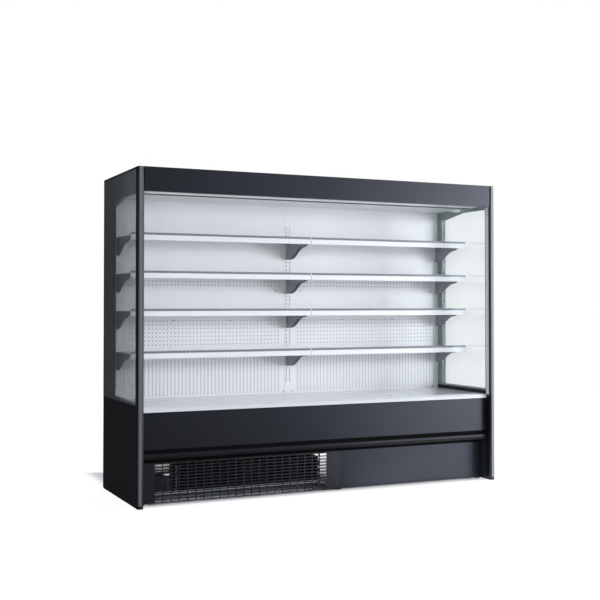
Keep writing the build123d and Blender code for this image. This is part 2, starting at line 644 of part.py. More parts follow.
def bracket(x, top_z):
    """Plate under one end of a shelf, swept down to its foot, with two pegs for the upright."""
    x0 = x - BRACKET_THICK / 2
    x1 = x + BRACKET_THICK / 2
    under = top_z - SHEET
    neck = (BRACKET_NOSE_Y + BRACKET_NECK_BACK, top_z - BRACKET_NECK)
    foot = (UPRIGHT_Y - BRACKET_FOOT, top_z - BRACKET_HIGH)
    level = BRACKET_SWEEP * (foot[0] - neck[0])
    sweep = Bezier(neck, (neck[0] + level, neck[1]), (foot[0] - level, foot[1]), foot)
    nose = (BRACKET_NOSE_Y, top_z - BRACKET_NOSE)
    sides = Polyline(foot, (UPRIGHT_Y, foot[1]), (UPRIGHT_Y, under), (BRACKET_NOSE_Y, under), nose, neck)
    face = Plane.YZ * make_face(sweep.edges() + sides.edges())
    plate = Pos(x0, 0, 0) * extrude(face, x1 - x0)
    for slots_down in (0, LOWER_PEG):
        peg_z = top_z - SHELF_ABOVE_SLOT - slots_down * PEG_PITCH
        plate += block(x0, x1, UPRIGHT_Y, UPRIGHT_Y + PEG_DEEP, peg_z - PEG_HIGH / 2, peg_z + PEG_HIGH / 2)
    return plate


# ================================================================ canopy
def ceiling_panels():
    """White inner ceiling behind the air outlet, and the soffit strip that carries the lamps."""
    rear = block(-X_IN, X_IN, OUTLET_REAR_Y, Y_WALL, CEILING_Z, CEILING_Z + SHEET)
    front = block(-X_IN, X_IN, SOFFIT_FRONT_Y, OUTLET_FRONT_Y, SOFFIT_Z, SOFFIT_Z + SHEET)
    return [rear, front]


def air_outlet():
    """One bay's outlet grid, with square cells that straighten the air curtain."""
    x0, x1 = PART_GAP / 2, X_IN
    deep = OUTLET_REAR_Y - OUTLET_FRONT_Y
    pitch = OUTLET_CELL + OUTLET_RIB
    columns = int((x1 - x0 - 2 * OUTLET_RIB) // pitch)
    rows = int((deep - OUTLET_RIB) // pitch)
    middle = Pos((x0 + x1) / 2, (OUTLET_FRONT_Y + OUTLET_REAR_Y) / 2)
    grid = GridLocations(pitch, pitch, columns, rows)
    cells = [middle * place * Rectangle(OUTLET_CELL, OUTLET_CELL) for place in grid]
    face = middle * Rectangle(x1 - x0, deep) - cells
    return Pos(0, 0, OUTLET_Z) * extrude(face, OUTLET_HIGH)


def lamp():
    """One bay's long lamp under the soffit, with a round-edged diffuser."""
    x0, x1 = LAMP_SEAM / 2, X_IN - LAMP_END
    body = block(x0, x1, LAMP_FRONT_Y, LAMP_FRONT_Y + LAMP_DEEP, LAMP_Z, SOFFIT_Z)
    return rounded(body, Axis.X, LAMP_ROUND, lambda p: p.Z < LAMP_Z + EDGE_NEAR)


def switch_housing():
    """Housing of the lamp switch under the ceiling, with a round pocket for the rocker."""
    half = SWITCH_WIDE / 2
    y0 = SWITCH_Y - SWITCH_DEEP / 2
    body = block(SWITCH_X - half, SWITCH_X + half, y0, y0 + SWITCH_DEEP, SWITCH_Z, CEILING_Z)
    pocket_half = ROCKER_WIDE / 2 + EASE
    pocket = rod_x(SWITCH_Y, ROCKER_Z, ROCKER_POCKET_R, SWITCH_X - pocket_half, SWITCH_X + pocket_half)
    pin_half = ROCKER_WIDE / 2 + ROCKER_PIN_REACH + EASE
    bore = rod_x(SWITCH_Y, ROCKER_Z, ROCKER_PIN_R + RUNNING, SWITCH_X - pin_half, SWITCH_X + pin_half)
    return body - pocket - bore


def lamp_switch():
    """Rocker on its pin, at rest tipped to one side."""
    outline = [
        (-ROCKER_HALF, -ROCKER_EDGE),
        (0, -ROCKER_CREST),
        (ROCKER_HALF, -ROCKER_EDGE),
        (ROCKER_HALF, ROCKER_TOP),
        (-ROCKER_HALF, ROCKER_TOP),
    ]
    paddle = prism_x(outline, -ROCKER_WIDE / 2, ROCKER_WIDE / 2)
    pin_half = ROCKER_WIDE / 2 + ROCKER_PIN_REACH
    rocker = paddle + rod_x(0, 0, ROCKER_PIN_R, -pin_half, pin_half)
    return Pos(SWITCH_X, SWITCH_Y, ROCKER_Z) * Rot(-ROCKER_TILT, 0, 0) * rocker


# ================================================================ night blinds
def blind_roller():
    """Rolled cloth on its tube, with a journal at each end."""
    x0, x1 = BLIND_X
    cloth = rod_x(BLIND_AXIS_Y, BLIND_AXIS_Z, BLIND_ROLL_R, x0 + BLIND_TUBE_SHOWS, x1 - BLIND_TUBE_SHOWS)
    tube = rod_x(BLIND_AXIS_Y, BLIND_AXIS_Z, BLIND_TUBE_R, x0, x1)
    journals = rod_x(BLIND_AXIS_Y, BLIND_AXIS_Z, JOURNAL_R, JOURNAL_SHORT, X_IN - JOURNAL_SHORT)
    return cloth + tube + journals


def blind_plate(x0, x1):
    """Bearing plate of the rollers, fixed to the fascia's back."""
    half = BLIND_PLATE_HALF
    plate = block(x0, x1, Y_FRONT + SHEET, BLIND_AXIS_Y + half, BLIND_AXIS_Z - half, BLIND_AXIS_Z + half)
    return plate - rod_x(BLIND_AXIS_Y, BLIND_AXIS_Z, JOURNAL_R + RUNNING, x0 - SHEET, x1 + SHEET)


def blind_brackets():
    """A bearing plate at each end wall and one in the middle."""
    end = blind_plate(X_IN - BLIND_PLATE, X_IN)
    return [blind_plate(-BLIND_MID_PLATE / 2, BLIND_MID_PLATE / 2), end, flip(end)]


def blind_sheet():
    """The free cloth between the roll and the pull bar."""
    x0, x1 = BLIND_X
    inset = BLIND_TUBE_SHOWS
    return block(x0 + inset, x1 - inset, CLOTH_Y, CLOTH_Y + CLOTH, BAR_Z + BAR_HIGH, BLIND_AXIS_Z)


def blind_bar():
    """Pull bar along the cloth's lower edge."""
    middle_y = CLOTH_Y + CLOTH / 2
    x0, x1 = BAR_END_GAP, X_IN - BAR_END_GAP
    bar = block(x0, x1, middle_y - BAR_DEEP / 2, middle_y + BAR_DEEP / 2, BAR_Z, BAR_Z + BAR_HIGH)
    return rounded(bar, Axis.X, BAR_ROUND, lambda p: p.Z < BAR_Z + EDGE_NEAR)


# ================================================================ fans
def fan_wheel(x, rear_y, z, tip_r, hub_r, deep, blades):
    """Axial wheel that blows along Y: hub bored from behind for the shaft, and pitched blades."""
    front_y = rear_y - deep
    middle_y = rear_y - deep / 2
    pitch = math.radians(FAN_PITCH)
    chord = FAN_SHARE * deep / math.sin(pitch)
    root_r = hub_r / 2
    blade = Pos((root_r + tip_r) / 2, 0, 0) * Rot(FAN_PITCH, 0, 0) * Box(tip_r - root_r, FAN_BLADE, chord)
    ring = [Rot(0, turn * 360 / blades, 0) * blade for turn in range(blades)]
    hub = Rot(90, 0, 0) * Cylinder(hub_r, deep)
    wheel = Part() + ([hub] + ring)
    wheel &= Rot(90, 0, 0) * Cylinder(tip_r, deep)
    bore = rod_y(0, 0, FAN_SHAFT_R + RUNNING, 0, deep)
    wheel = Pos(x, middle_y, z) * (wheel - bore)
    return wheel


def fan_motor(x, plate_y, z, opening_r, motor_r, motor_long, wheel_deep):
    """Motor behind a fan opening, on four arms, with the shaft that carries the wheel."""
    rear_y = plate_y + SHEET
    motor = rod_y(x, z, motor_r, rear_y, rear_y + motor_long)
    shaft = rod_y(x, z, FAN_SHAFT_R, plate_y - wheel_deep / 2 + FAN_END_PLAY, rear_y)
    reach = opening_r + FAN_ARM_LAP
    cross = [
        block(x - reach, x + reach, rear_y, rear_y + FAN_ARM_THICK, z - FAN_ARM / 2, z + FAN_ARM / 2),
        block(x - FAN_ARM / 2, x + FAN_ARM / 2, rear_y, rear_y + FAN_ARM_THICK, z - reach, z + reach),
    ]
    return [motor, shaft] + cross


def fan_ring(x, plate_y, z, opening_r, wheel_deep):
    """Short collar around the wheel, in front of the plate."""
    outside = rod_y(x, z, opening_r + SHEET, plate_y - wheel_deep, plate_y)
    return outside - rod_y(x, z, opening_r, plate_y - wheel_deep, plate_y)


def fan_carrier(plate, plate_y, z, places, fan_r, motor_r, motor_long, wheel_deep):
    """A plate with an opening, collar, arms and motor at each place along X."""
    opening_r = fan_r + FAN_TIP_GAP
    for x in places:
        plate -= rod_y(x, z, opening_r, plate_y - SHEET, plate_y + 2 * SHEET)
    for x in places:
        plate += fan_ring(x, plate_y, z, opening_r, wheel_deep)
        plate += fan_motor(x, plate_y, z, opening_r, motor_r, motor_long, wheel_deep)
    return plate


def fan_plate():
    """Plate across the tank that carries the two air-circuit fans."""
    plate = block(-X_IN, X_IN, FAN_PLATE_Y, FAN_PLATE_Y + SHEET, TANK_TOP_Z, DECK_Z - SHEET)
    places = (-TANK_FAN_X, TANK_FAN_X)
    return fan_carrier(
        plate, FAN_PLATE_Y, TANK_FAN_Z, places, TANK_FAN_R, TANK_MOTOR_R, TANK_MOTOR_LONG, TANK_FAN_DEEP
    )


def condenser_shroud():
    """Open box behind the condenser that carries its two fans."""
    x0, x1 = COND_LEFT_X, COND_RIGHT_X
    y0 = COND_FRONT_Y + COND_DEEP
    z1 = TRAY_TOP_Z + COND_HIGH
    outside = block(x0, x1, y0, SHROUD_PLATE_Y + SHEET, TRAY_TOP_Z, z1)
    hollow = block(x0 + SHEET, x1 - SHEET, y0, SHROUD_PLATE_Y, TRAY_TOP_Z + SHEET, z1 - SHEET)
    places = (COND_MID_X - COND_FAN_X, COND_MID_X + COND_FAN_X)
    return fan_carrier(
        outside - hollow, SHROUD_PLATE_Y, COND_FAN_Z, places,
        COND_FAN_R, COND_MOTOR_R, COND_MOTOR_LONG, COND_FAN_DEEP,
    )


# ================================================================ refrigeration
def finned_coil(x0, x1, y0, y1, z0, z1):
    """Fin pack between two end plates that stand a little proud of it."""
    pack = block(x0 + END_PLATE, x1 - END_PLATE, y0, y1, z0, z1)
    left = block(x0, x0 + END_PLATE, y0 - END_PLATE_PROUD, y1, z0, z1)
    right = block(x1 - END_PLATE, x1, y0 - END_PLATE_PROUD, y1, z0, z1)
    return pack + left + right


def evaporator():
    """Cooling coil on the tank's floor, behind the fans."""
    return finned_coil(-EVAP_X, EVAP_X, EVAP_REAR_Y - EVAP_DEEP, EVAP_REAR_Y, TANK_TOP_Z, EVAP_TOP_Z)


def condenser():
    """Coil right behind the slotted kick panel."""
    rear_y = COND_FRONT_Y + COND_DEEP
    return finned_coil(
        COND_LEFT_X, COND_RIGHT_X, COND_FRONT_Y, rear_y, TRAY_TOP_Z, TRAY_TOP_Z + COND_HIGH
    )


def compressor():
    """Hermetic shell on a foot plate with four grommets, and its terminal box."""
    plate_z = TRAY_TOP_Z + GROMMET_HIGH
    shell_z = plate_z + COMP_PLATE
    half_x = COMP_PLATE_X / 2
    half_y = COMP_PLATE_Y / 2
    plate = block(COMP_X - half_x, COMP_X + half_x, COMP_Y - half_y, COMP_Y + half_y, plate_z, shell_z)
    shell = rod_z(COMP_X, COMP_Y, COMP_R, shell_z, shell_z + COMP_HIGH)
    shell = fillet(shell.edges().group_by(Axis.Z)[-1], COMP_DOME)
    front_y = COMP_Y - COMP_R - TERMINAL_DEEP / 2
    side = TERMINAL_WIDE / 2
    box_z = shell_z + COMP_HIGH / 4
    terminal = block(COMP_X - side, COMP_X + side, front_y, COMP_Y, box_z, box_z + TERMINAL_HIGH)
    shape = plate + shell + terminal
    for side_x in (-1, 1):
        for side_y in (-1, 1):
            grommet_x = COMP_X + side_x * (half_x - GROMMET_INSET)
            grommet_y = COMP_Y + side_y * (half_y - GROMMET_INSET)
            shape += rod_z(grommet_x, grommet_y, GROMMET_R, TRAY_TOP_Z, plate_z)
    return shape


def electrical_box():
    """Supply box on the tray, with the bored gland for the mains lead at its back."""
    rear_y = BOX_FRONT_Y + BOX_DEEP
    top_z = TRAY_TOP_Z + BOX_HIGH
    middle_x = BOX_LEFT_X + BOX_WIDE / 2
    gland_z = TRAY_TOP_Z + BOX_HIGH / 2
    body = block(BOX_LEFT_X, BOX_LEFT_X + BOX_WIDE, BOX_FRONT_Y, rear_y, TRAY_TOP_Z, top_z)
    body = rounded(body, Axis.Z, BOX_ROUND, lambda p: True)
    body += rod_y(middle_x, gland_z, GLAND_R, rear_y - SHEET, rear_y + GLAND_LONG)
    return body - rod_y(middle_x, gland_z, GLAND_BORE_R, rear_y, rear_y + GLAND_LONG + SHEET)


# ================================================================ writing the nodes
def write_base():
    """Frame, feet, tray and kick panels."""
    save("base_frame", *base_frame())
    for side, x in zip(("left", "middle", "right"), LEG_X):
        for row, y in zip(("front", "rear"), LEG_Y):
            save(f"foot_{row}_{side}", levelling_foot(x, y))
    save("machine_tray", machine_tray())
    save("kick_grille", kick_grille())
    save("kick_plate", kick_plate())


def write_body():
    """Insulated shell, front trim and deck."""
    save("tank", *tank())
    save("back_wall", back_wall())
    save("roof_panel", roof_panel())
    save("fascia", fascia())
    save("front_panel", front_panel())
    save("deck_lip", deck_lip())
    half_seam = BUMPER_SEAM / 2
    save("bumper_rail", bumper(-X_IN, BUMPER_SEAM_X - half_seam), bumper(BUMPER_SEAM_X + half_seam, X_IN))
    save("deck_pan_right", deck_pan())
    save("deck_pan_left", flip(deck_pan()))


def write_end_walls():
    """Both end walls, piece by piece."""
    save("side_panel_right", side_panel())
    save("side_panel_left", flip(side_panel()))
    save("stile_right", stile())
    save("stile_left", flip(stile()))
    save("side_glass", *both(side_glass()))
    save("window_border", *both(window_border()))
    save("side_trim", *both(side_trim()))


def write_interior():
    """Uprights, back panels, shelves, price rails and brackets."""
    save("uprights", *uprights())
    save("back_panels", *both(back_panels()))
    for number, top_z in enumerate(SHELF_Z, start=1):
        save(f"shelf_{number}_right", shelf(top_z))
        save(f"shelf_{number}_left", flip(shelf(top_z)))
    save("price_rails", *both([price_rail(top_z) for top_z in SHELF_Z]))
    columns = (COLUMN_X, END_COLUMN_X)
    save("shelf_brackets", *both([bracket(x, top_z) for top_z in SHELF_Z for x in columns]))


def write_canopy():
    """Ceiling, air outlet, lamps, lamp switch and night blinds."""
    save("ceiling_panels", *ceiling_panels())
    save("air_outlet", *both([air_outlet()]))
    save("lamps", *both([lamp()]))
    save("switch_housing", switch_housing())
    save("lamp_switch", lamp_switch())
    save("blind_brackets", *blind_brackets())
    for name, make in {"roller": blind_roller, "sheet": blind_sheet, "bar": blind_bar}.items():
        save(f"blind_{name}_right", make())
        save(f"blind_{name}_left", flip(make()))


def write_machinery():
    """Fans, coils, compressor and supply box."""
    save("fan_plate", fan_plate())
    for side, x in (("left", -TANK_FAN_X), ("right", TANK_FAN_X)):
        wheel = fan_wheel(
            x, FAN_PLATE_Y, TANK_FAN_Z, TANK_FAN_R, TANK_HUB_R, TANK_FAN_DEEP, TANK_FAN_BLADES
        )
        save(f"tank_fan_{side}", wheel)
    save("evaporator", evaporator())
    save("condenser", condenser())
    save("condenser_shroud", condenser_shroud())
    for side, x in (("left", COND_MID_X - COND_FAN_X), ("right", COND_MID_X + COND_FAN_X)):
        wheel = fan_wheel(
            x, SHROUD_PLATE_Y, COND_FAN_Z, COND_FAN_R, COND_HUB_R, COND_FAN_DEEP, COND_FAN_BLADES
        )
        save(f"condenser_fan_{side}", wheel)
    save("compressor", compressor())
    save("electrical_box", electrical_box())


os.makedirs("parts", exist_ok=True)
write_base()
write_body()
write_end_walls()
write_interior()
write_canopy()
write_machinery()
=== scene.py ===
# %% [markdown]
# # Dressing an open display fridge
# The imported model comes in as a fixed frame: every sheet, pane and shelf is already at its real size and
# place, in metres. This script gives each of them its finish and adds what is too fine for the solids, such
# as perforations, fins, pipes, screws and seals. Nothing here moves a part.
# %% The frame
import math

import bmesh
import bpy
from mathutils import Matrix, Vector


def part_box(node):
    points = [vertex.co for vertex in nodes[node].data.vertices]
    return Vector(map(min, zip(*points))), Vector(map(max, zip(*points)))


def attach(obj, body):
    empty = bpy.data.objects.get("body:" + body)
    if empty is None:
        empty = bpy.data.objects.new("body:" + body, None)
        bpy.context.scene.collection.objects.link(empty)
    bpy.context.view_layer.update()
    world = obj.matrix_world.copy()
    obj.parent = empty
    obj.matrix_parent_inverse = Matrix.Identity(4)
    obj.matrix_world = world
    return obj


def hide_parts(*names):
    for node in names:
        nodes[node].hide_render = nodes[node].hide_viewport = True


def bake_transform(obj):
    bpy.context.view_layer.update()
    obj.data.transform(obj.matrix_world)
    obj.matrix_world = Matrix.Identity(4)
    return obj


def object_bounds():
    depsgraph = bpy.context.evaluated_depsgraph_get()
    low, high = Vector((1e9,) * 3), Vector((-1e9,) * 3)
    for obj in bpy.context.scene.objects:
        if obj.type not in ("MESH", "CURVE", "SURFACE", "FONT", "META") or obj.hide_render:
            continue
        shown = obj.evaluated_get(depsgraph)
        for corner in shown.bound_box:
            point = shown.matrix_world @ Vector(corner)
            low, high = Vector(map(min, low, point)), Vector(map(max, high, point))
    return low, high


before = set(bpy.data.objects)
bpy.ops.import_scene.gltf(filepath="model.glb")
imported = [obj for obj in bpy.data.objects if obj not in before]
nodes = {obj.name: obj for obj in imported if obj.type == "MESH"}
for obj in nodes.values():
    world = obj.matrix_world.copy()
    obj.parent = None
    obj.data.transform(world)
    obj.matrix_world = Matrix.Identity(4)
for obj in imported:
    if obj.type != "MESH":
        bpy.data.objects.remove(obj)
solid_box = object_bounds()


# %% [markdown]
# ## Helpers for shapes
# Most added pieces are folded sheet, wire, pipe or turned parts. A mesh made from plain lists of corners
# and faces is the shortest way to all of them. The most common one is a box, so it has a function of its
# own, and several separate boxes can share one mesh.
# %% Meshes and boxes
MM = 0.001
BOX_QUADS = [(0, 1, 3, 2), (4, 6, 7, 5), (0, 4, 5, 1), (2, 3, 7, 6), (0, 2, 6, 4), (1, 5, 7, 3)]


def make_mesh(name, corners, faces):
    """A mesh object from its corners and faces."""
    mesh = bpy.data.meshes.new(name)
    mesh.from_pydata(corners, [], faces)
    mesh.update()
    piece = bpy.data.objects.new(name, mesh)
    bpy.context.scene.collection.objects.link(piece)
    return piece


def add_box(corners, faces, low, high):
    """Adds a box to a mesh's lists, from its lowest to its highest corner, with its faces looking out."""
    first = len(corners)
    xs, ys, zs = zip(low, high)
    corners += [(x, y, z) for x in xs for y in ys for z in zs]
    faces += [tuple(first + corner for corner in quad) for quad in BOX_QUADS]


def make_boxes(name, boxes):
    """One mesh of several separate boxes, each given by its lowest and highest corner."""
    corners = []
    faces = []
    for low, high in boxes:
        add_box(corners, faces, low, high)
    return make_mesh(name, corners, faces)


def both_ends(inner, outer):
    """The same span of X at the cabinet's left and right end, each as its low and high value."""
    return [(-outer, -inner), (inner, outer)]


print("a box has", len(BOX_QUADS), "faces")


# %% [markdown]
# Real sheet and mouldings have a small radius on every edge, which is what catches the light. A bevel
# modifier with a few segments gives it. Turned and curved pieces only need smooth shading.
# %% Smooth and rounded
SHARP = math.radians(40)


def shade_smooth(piece):
    """Smooth shading over a whole piece."""
    for polygon in piece.data.polygons:
        polygon.use_smooth = True
    return piece


def round_edges(piece, width, segments=2):
    """A small bevel on the sharp edges, with smooth shading between them."""
    bevel = piece.modifiers.new("edges", "BEVEL")
    bevel.width = width
    bevel.segments = segments
    bevel.limit_method = "ANGLE"
    bevel.angle_limit = SHARP
    bevel.harden_normals = True
    return shade_smooth(piece)


print("edges are rounded above", round(math.degrees(SHARP)), "degrees")


# %% [markdown]
# Wire, pipe and coil tube all are a round section along a line. A curve with a round bevel makes that
# section, and is turned to a mesh at once, so that every piece in the scene is plain geometry.
# %% Wires and tubes
def make_tubes(name, paths, radius, sides=8):
    """Wires or pipes of one thickness, each along its own list of points, as one mesh."""
    curve = bpy.data.curves.new(name, "CURVE")
    curve.dimensions = "3D"
    curve.bevel_depth = radius
    curve.bevel_resolution = max(0, sides // 4 - 1)
    curve.use_fill_caps = True
    for points, closed in paths:
        spline = curve.splines.new("POLY")
        spline.points.add(len(points) - 1)
        for spline_point, point in zip(spline.points, points):
            spline_point.co = (*point, 1)
        spline.use_cyclic_u = closed
    holder = bpy.data.objects.new(name, curve)
    mesh = bpy.data.meshes.new_from_object(holder)
    bpy.data.objects.remove(holder)
    piece = bpy.data.objects.new(name, mesh)
    bpy.context.scene.collection.objects.link(piece)
    return shade_smooth(piece)


print("tube helper ready")


# %% [markdown]
# Each new piece is told its finish and the body that it rides on. Nearly everything rides on the cabinet
# itself.
# %% Finish, slot and body
CABINET = "cabinet"


def paint(piece, material):
    """Gives a new piece its finish."""
    piece.data.materials.clear()
    piece.data.materials.append(material)
    return piece


def dress(piece, material, body=CABINET):
    """Gives a new piece its finish and the body that it rides on."""
    paint(piece, material)
    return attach(piece, body)


print("pieces ride on", CABINET)


# %% [markdown]
# ## Helpers for finishes
# Colours are written as sRGB hex values, the way a paint chart gives them, and turned to the linear values
# that light is added up in. Each finish is a small graph on the Principled shader: one function adds a node
# with its settings and its incoming links, so a finish reads as a list of steps.
# %% Colours and nodes
def linear(hex_colour):
    """An sRGB hex colour as linear RGBA, by the curve of the sRGB standard."""
    shares = [int(hex_colour[place:place + 2], 16) / 255 for place in (1, 3, 5)]
    return [s / 12.92 if s <= 0.04045 else ((s + 0.055) / 1.055) ** 2.4 for s in shares] + [1.0]


def add_node(tree, kind, inputs=None, links=None, **settings):
    """Adds a node, sets its properties and input values, and links other nodes' outputs into it."""
    node = tree.nodes.new(kind)
    for name, value in settings.items():
        setattr(node, name, value)
    for key, value in (inputs or {}).items():
        node.inputs[key].default_value = value
    for key, output in (links or {}).items():
        tree.links.new(output, node.inputs[key])
    return node


print("mid grey is", round(linear("#808080")[0], 3), "in linear light")


# %% [markdown]
# A finish starts with its constants. They are set on the shader's own sockets, so that they hold even where
# a program reads no node graph; the patterns are linked in afterwards.
# %% A new finish
def new_finish(name, colour, roughness, metallic=0.0, **more):
    """A material with its constants on the shader, ready for detail to be added."""
    material = bpy.data.materials.new(name)
    material.use_nodes = True
    shader = material.node_tree.nodes["Principled BSDF"]
    shader.inputs["Base Color"].default_value = linear(colour)
    shader.inputs["Roughness"].default_value = roughness
    shader.inputs["Metallic"].default_value = metallic
    for key, value in more.items():
        shader.inputs[key.replace("_", " ")].default_value = value
    return material, material.node_tree, shader


print("finish helper ready")


# %% [markdown]
# Patterns are laid out by the place on the object in metres, so a scale can be worked out from a real size.
# Noise does for most of them: large blotches for tone, small ones for grain.
# %% Patterns
def place_of(tree, stretch=(1, 1, 1)):
    """The place on the object in metres, stretched for patterns that run one way."""
    coordinates = add_node(tree, "ShaderNodeTexCoord")
    mapping = add_node(
        tree, "ShaderNodeMapping", {"Scale": stretch}, {"Vector": coordinates.outputs["Object"]}
    )
    return mapping.outputs["Vector"]


def grain(tree, size, stretch=(1, 1, 1), detail=3.0):
    """Noise whose blotches are about that size in metres."""
    place = place_of(tree, stretch)
    noise = add_node(tree, "ShaderNodeTexNoise", {"Scale": 1 / size, "Detail": detail}, {"Vector": place})
    return noise.outputs["Fac"]


def vary_colour(tree, shader, amount, low, high):
    """The base colour drifts between two tones with a pattern from 0 to 1."""
    mix = add_node(
        tree, "ShaderNodeMix", {6: linear(low), 7: linear(high)}, {0: amount}, data_type="RGBA"
    )
    tree.links.new(mix.outputs[2], shader.inputs["Base Color"])


def vary_roughness(tree, shader, amount, low, high):
    """The roughness drifts between two values with a pattern from 0 to 1."""
    span = add_node(tree, "ShaderNodeMapRange", {"To Min": low, "To Max": high}, {"Value": amount})
    tree.links.new(span.outputs["Result"], shader.inputs["Roughness"])


def add_relief(tree, shader, height, depth, strength=1.0):
    """A bump of that depth in metres."""
    bump = add_node(
        tree, "ShaderNodeBump", {"Distance": depth, "Strength": strength}, {"Height": height}
    )
    tree.links.new(bump.outputs["Normal"], shader.inputs["Normal"])


print("pattern helpers ready")


# %% [markdown]
# ## Coated steel
# The outside is steel sheet with a black powder coat. The powder melts into a skin that is smooth but never
# flat: its orange peel has waves of about 2 mm, which softens every reflection. Colour varies very little,
# gloss a little more, where hands and cloths have been. The resin skin gives the black one cold
# reflections. The inside is the same process in white. The deck pans are the glossiest, and the cladding of
# the back and the roof is chalky, with hardly any gloss.
# %% Powder coats
PEEL = 2.2 * MM
CHALKY = 0.1
COLD_SKIN = linear("#e6eaf9")


def powder_coat(name, low, high, gloss, **more):
    """Powder-coated sheet: a fine orange peel and a slow drift of tone and gloss."""
    material, tree, shader = new_finish(name, high, gloss[0], **more)
    vary_colour(tree, shader, grain(tree, 350 * MM), low, high)
    vary_roughness(tree, shader, grain(tree, 120 * MM), *gloss)
    add_relief(tree, shader, grain(tree, PEEL, detail=1.0), 0.02 * MM, 0.6)
    return material


black_coat = powder_coat("black_powder_coat", "#101215", "#15171b", (0.34, 0.42), Specular_Tint=COLD_SKIN)
end_coat = powder_coat("black_matt_end_coat", "#191a1d", "#1f2023", (0.58, 0.66))
grille_coat = powder_coat("black_grille_coat", "#101214", "#15171a", (0.36, 0.46))
white_coat = powder_coat("white_powder_coat", "#eaebec", "#f0f1f2", (0.34, 0.44))
deck_coat = powder_coat("white_gloss_deck_coat", "#e4e8ea", "#eaedef", (0.10, 0.18))
lip_coat = powder_coat("white_lip_coat", "#cdd0d3", "#d3d6d9", (0.2, 0.3))
tray_coat = powder_coat("grey_tray_coat", "#b4b8bb", "#bec2c5", (0.4, 0.5))
grey_coat = powder_coat("grey_bracket_coat", "#8d949b", "#979ea4", (0.38, 0.48))
outer_coat = powder_coat(
    "white_back_cladding", "#d3d6d8", "#dadddf", (0.55, 0.65), Specular_IOR_Level=CHALKY
)
print("powder coats:", black_coat.name, white_coat.name, deck_coat.name, grey_coat.name, outer_coat.name)


# %% [markdown]
# ## Metals
# Hot-dip galvanised sheet shows spangle: crystals of zinc about 10 mm wide that each mirror the light their
# own way. The stile is extruded aluminium in a silver lacquer, with drawing lines along it. The lacquer is
# metal flakes in paint, so it is only partly metal. Fins are bare thin aluminium, dull with dust in the
# condenser, and pipes are bright copper that has gone a little brown.
# %% Metal finishes
SPANGLE = 10 * MM
DRAWING_LINE = 0.8 * MM


def galvanised_steel():
    """Zinc spangle from a cell pattern, in tone and gloss."""
    material, tree, shader = new_finish("spangled_galvanised_steel", "#9a9ea1", 0.42, 1.0)
    cells = add_node(
        tree, "ShaderNodeTexVoronoi", {"Scale": 1 / SPANGLE}, {"Vector": place_of(tree)}
    )
    split = add_node(tree, "ShaderNodeSeparateColor", links={"Color": cells.outputs["Color"]})
    vary_colour(tree, shader, split.outputs["Red"], "#85898d", "#aeb2b5")
    vary_roughness(tree, shader, split.outputs["Green"], 0.34, 0.5)
    return material


def drawn_aluminium(name, low, high, gloss, metallic=1.0):
    """Extrusion with fine drawing lines along Z, bare or under a lacquer."""
    material, tree, shader = new_finish(name, high, gloss, metallic)
    lines = grain(tree, DRAWING_LINE, (1, 1, 0.01), 2.0)
    vary_colour(tree, shader, lines, low, high)
    add_relief(tree, shader, lines, 0.01 * MM, 0.4)
    return material


def bare_metal(name, low, high, gloss, patch):
    """Plain bright metal with a tarnish that comes and goes."""
    material, tree, shader = new_finish(name, high, gloss[0], 1.0)
    vary_colour(tree, shader, grain(tree, patch), low, high)
    vary_roughness(tree, shader, grain(tree, patch / 3), *gloss)
    return material


zinc_sheet = galvanised_steel()
stile_metal = drawn_aluminium("silver_lacquered_stile", "#6c6d70", "#7a7b7d", 0.5, 0.4)
bar_metal = drawn_aluminium("anodised_bar_aluminium", "#a3a6a9", "#b3b6b9", 0.3)
fin_metal = bare_metal("bare_fin_aluminium", "#8d9195", "#a6aaad", (0.35, 0.5), 20 * MM)
dusty_fins = bare_metal("dusty_condenser_fins", "#55585b", "#6a6d70", (0.5, 0.65), 30 * MM)
copper = bare_metal("copper_pipe", "#9a5a3c", "#b87352", (0.22, 0.38), 30 * MM)
screw_metal = bare_metal("zinc_plated_screw", "#8f9294", "#a9acae", (0.28, 0.4), 4 * MM)
print("metals:", zinc_sheet.name, stile_metal.name, fin_metal.name, copper.name)


# %% [markdown]
# ## Glass and its dark border
# The end walls are double glazed. Clear float glass bends light at an index of 1.52 and has a hint of a
# cold tint. It lets lamp light and bounced light straight through, as thin panes do, so that the shelves
# behind it aren't left in the dark.
# %% Clear glass
GLASS_IOR = 1.52


def float_glass():
    """Clear glass; a slow ripple keeps its reflections from being perfect."""
    material, tree, shader = new_finish("clear_float_glass", "#fbfdfd", 0.0, 0.0, IOR=GLASS_IOR)
    shader.inputs["Transmission Weight"].default_value = 1.0
    vary_colour(tree, shader, grain(tree, 500 * MM), "#f8fbfc", "#fcfefe")
    add_relief(tree, shader, grain(tree, 400 * MM, detail=0.0), 0.05 * MM, 0.3)
    path = add_node(tree, "ShaderNodeLightPath")
    lit = add_node(
        tree, "ShaderNodeMath", links={0: path.outputs["Is Shadow Ray"], 1: path.outputs["Is Diffuse Ray"]},
        operation="MAXIMUM",
    )
    clear = add_node(tree, "ShaderNodeBsdfTransparent", {"Color": linear("#f4f5f5")})
    mix = add_node(
        tree, "ShaderNodeMixShader",
        links={0: lit.outputs[0], 1: shader.outputs["BSDF"], 2: clear.outputs["BSDF"]},
    )
    tree.links.new(mix.outputs[0], tree.nodes["Material Output"].inputs["Surface"])
    return material


clear_glass = float_glass()
print("glass:", clear_glass.name)


# %% [markdown]
# Around the window, between the panes, lies an enamelled border. Seen from inside it is pale grey-green all
# over. Seen from outside its print is thin and grey-green at the front and grows denser towards the rear,
# where it is almost black. So the tone depends on which side of the border's middle a point lies, and on
# its depth.
# %% Enamelled border
stile_low, stile_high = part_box("stile_right")
BORDER_MIDDLE = stile_low.x + 8 * MM
BORDER_FRONT_Y = -340 * MM
BORDER_REAR_Y = 260 * MM


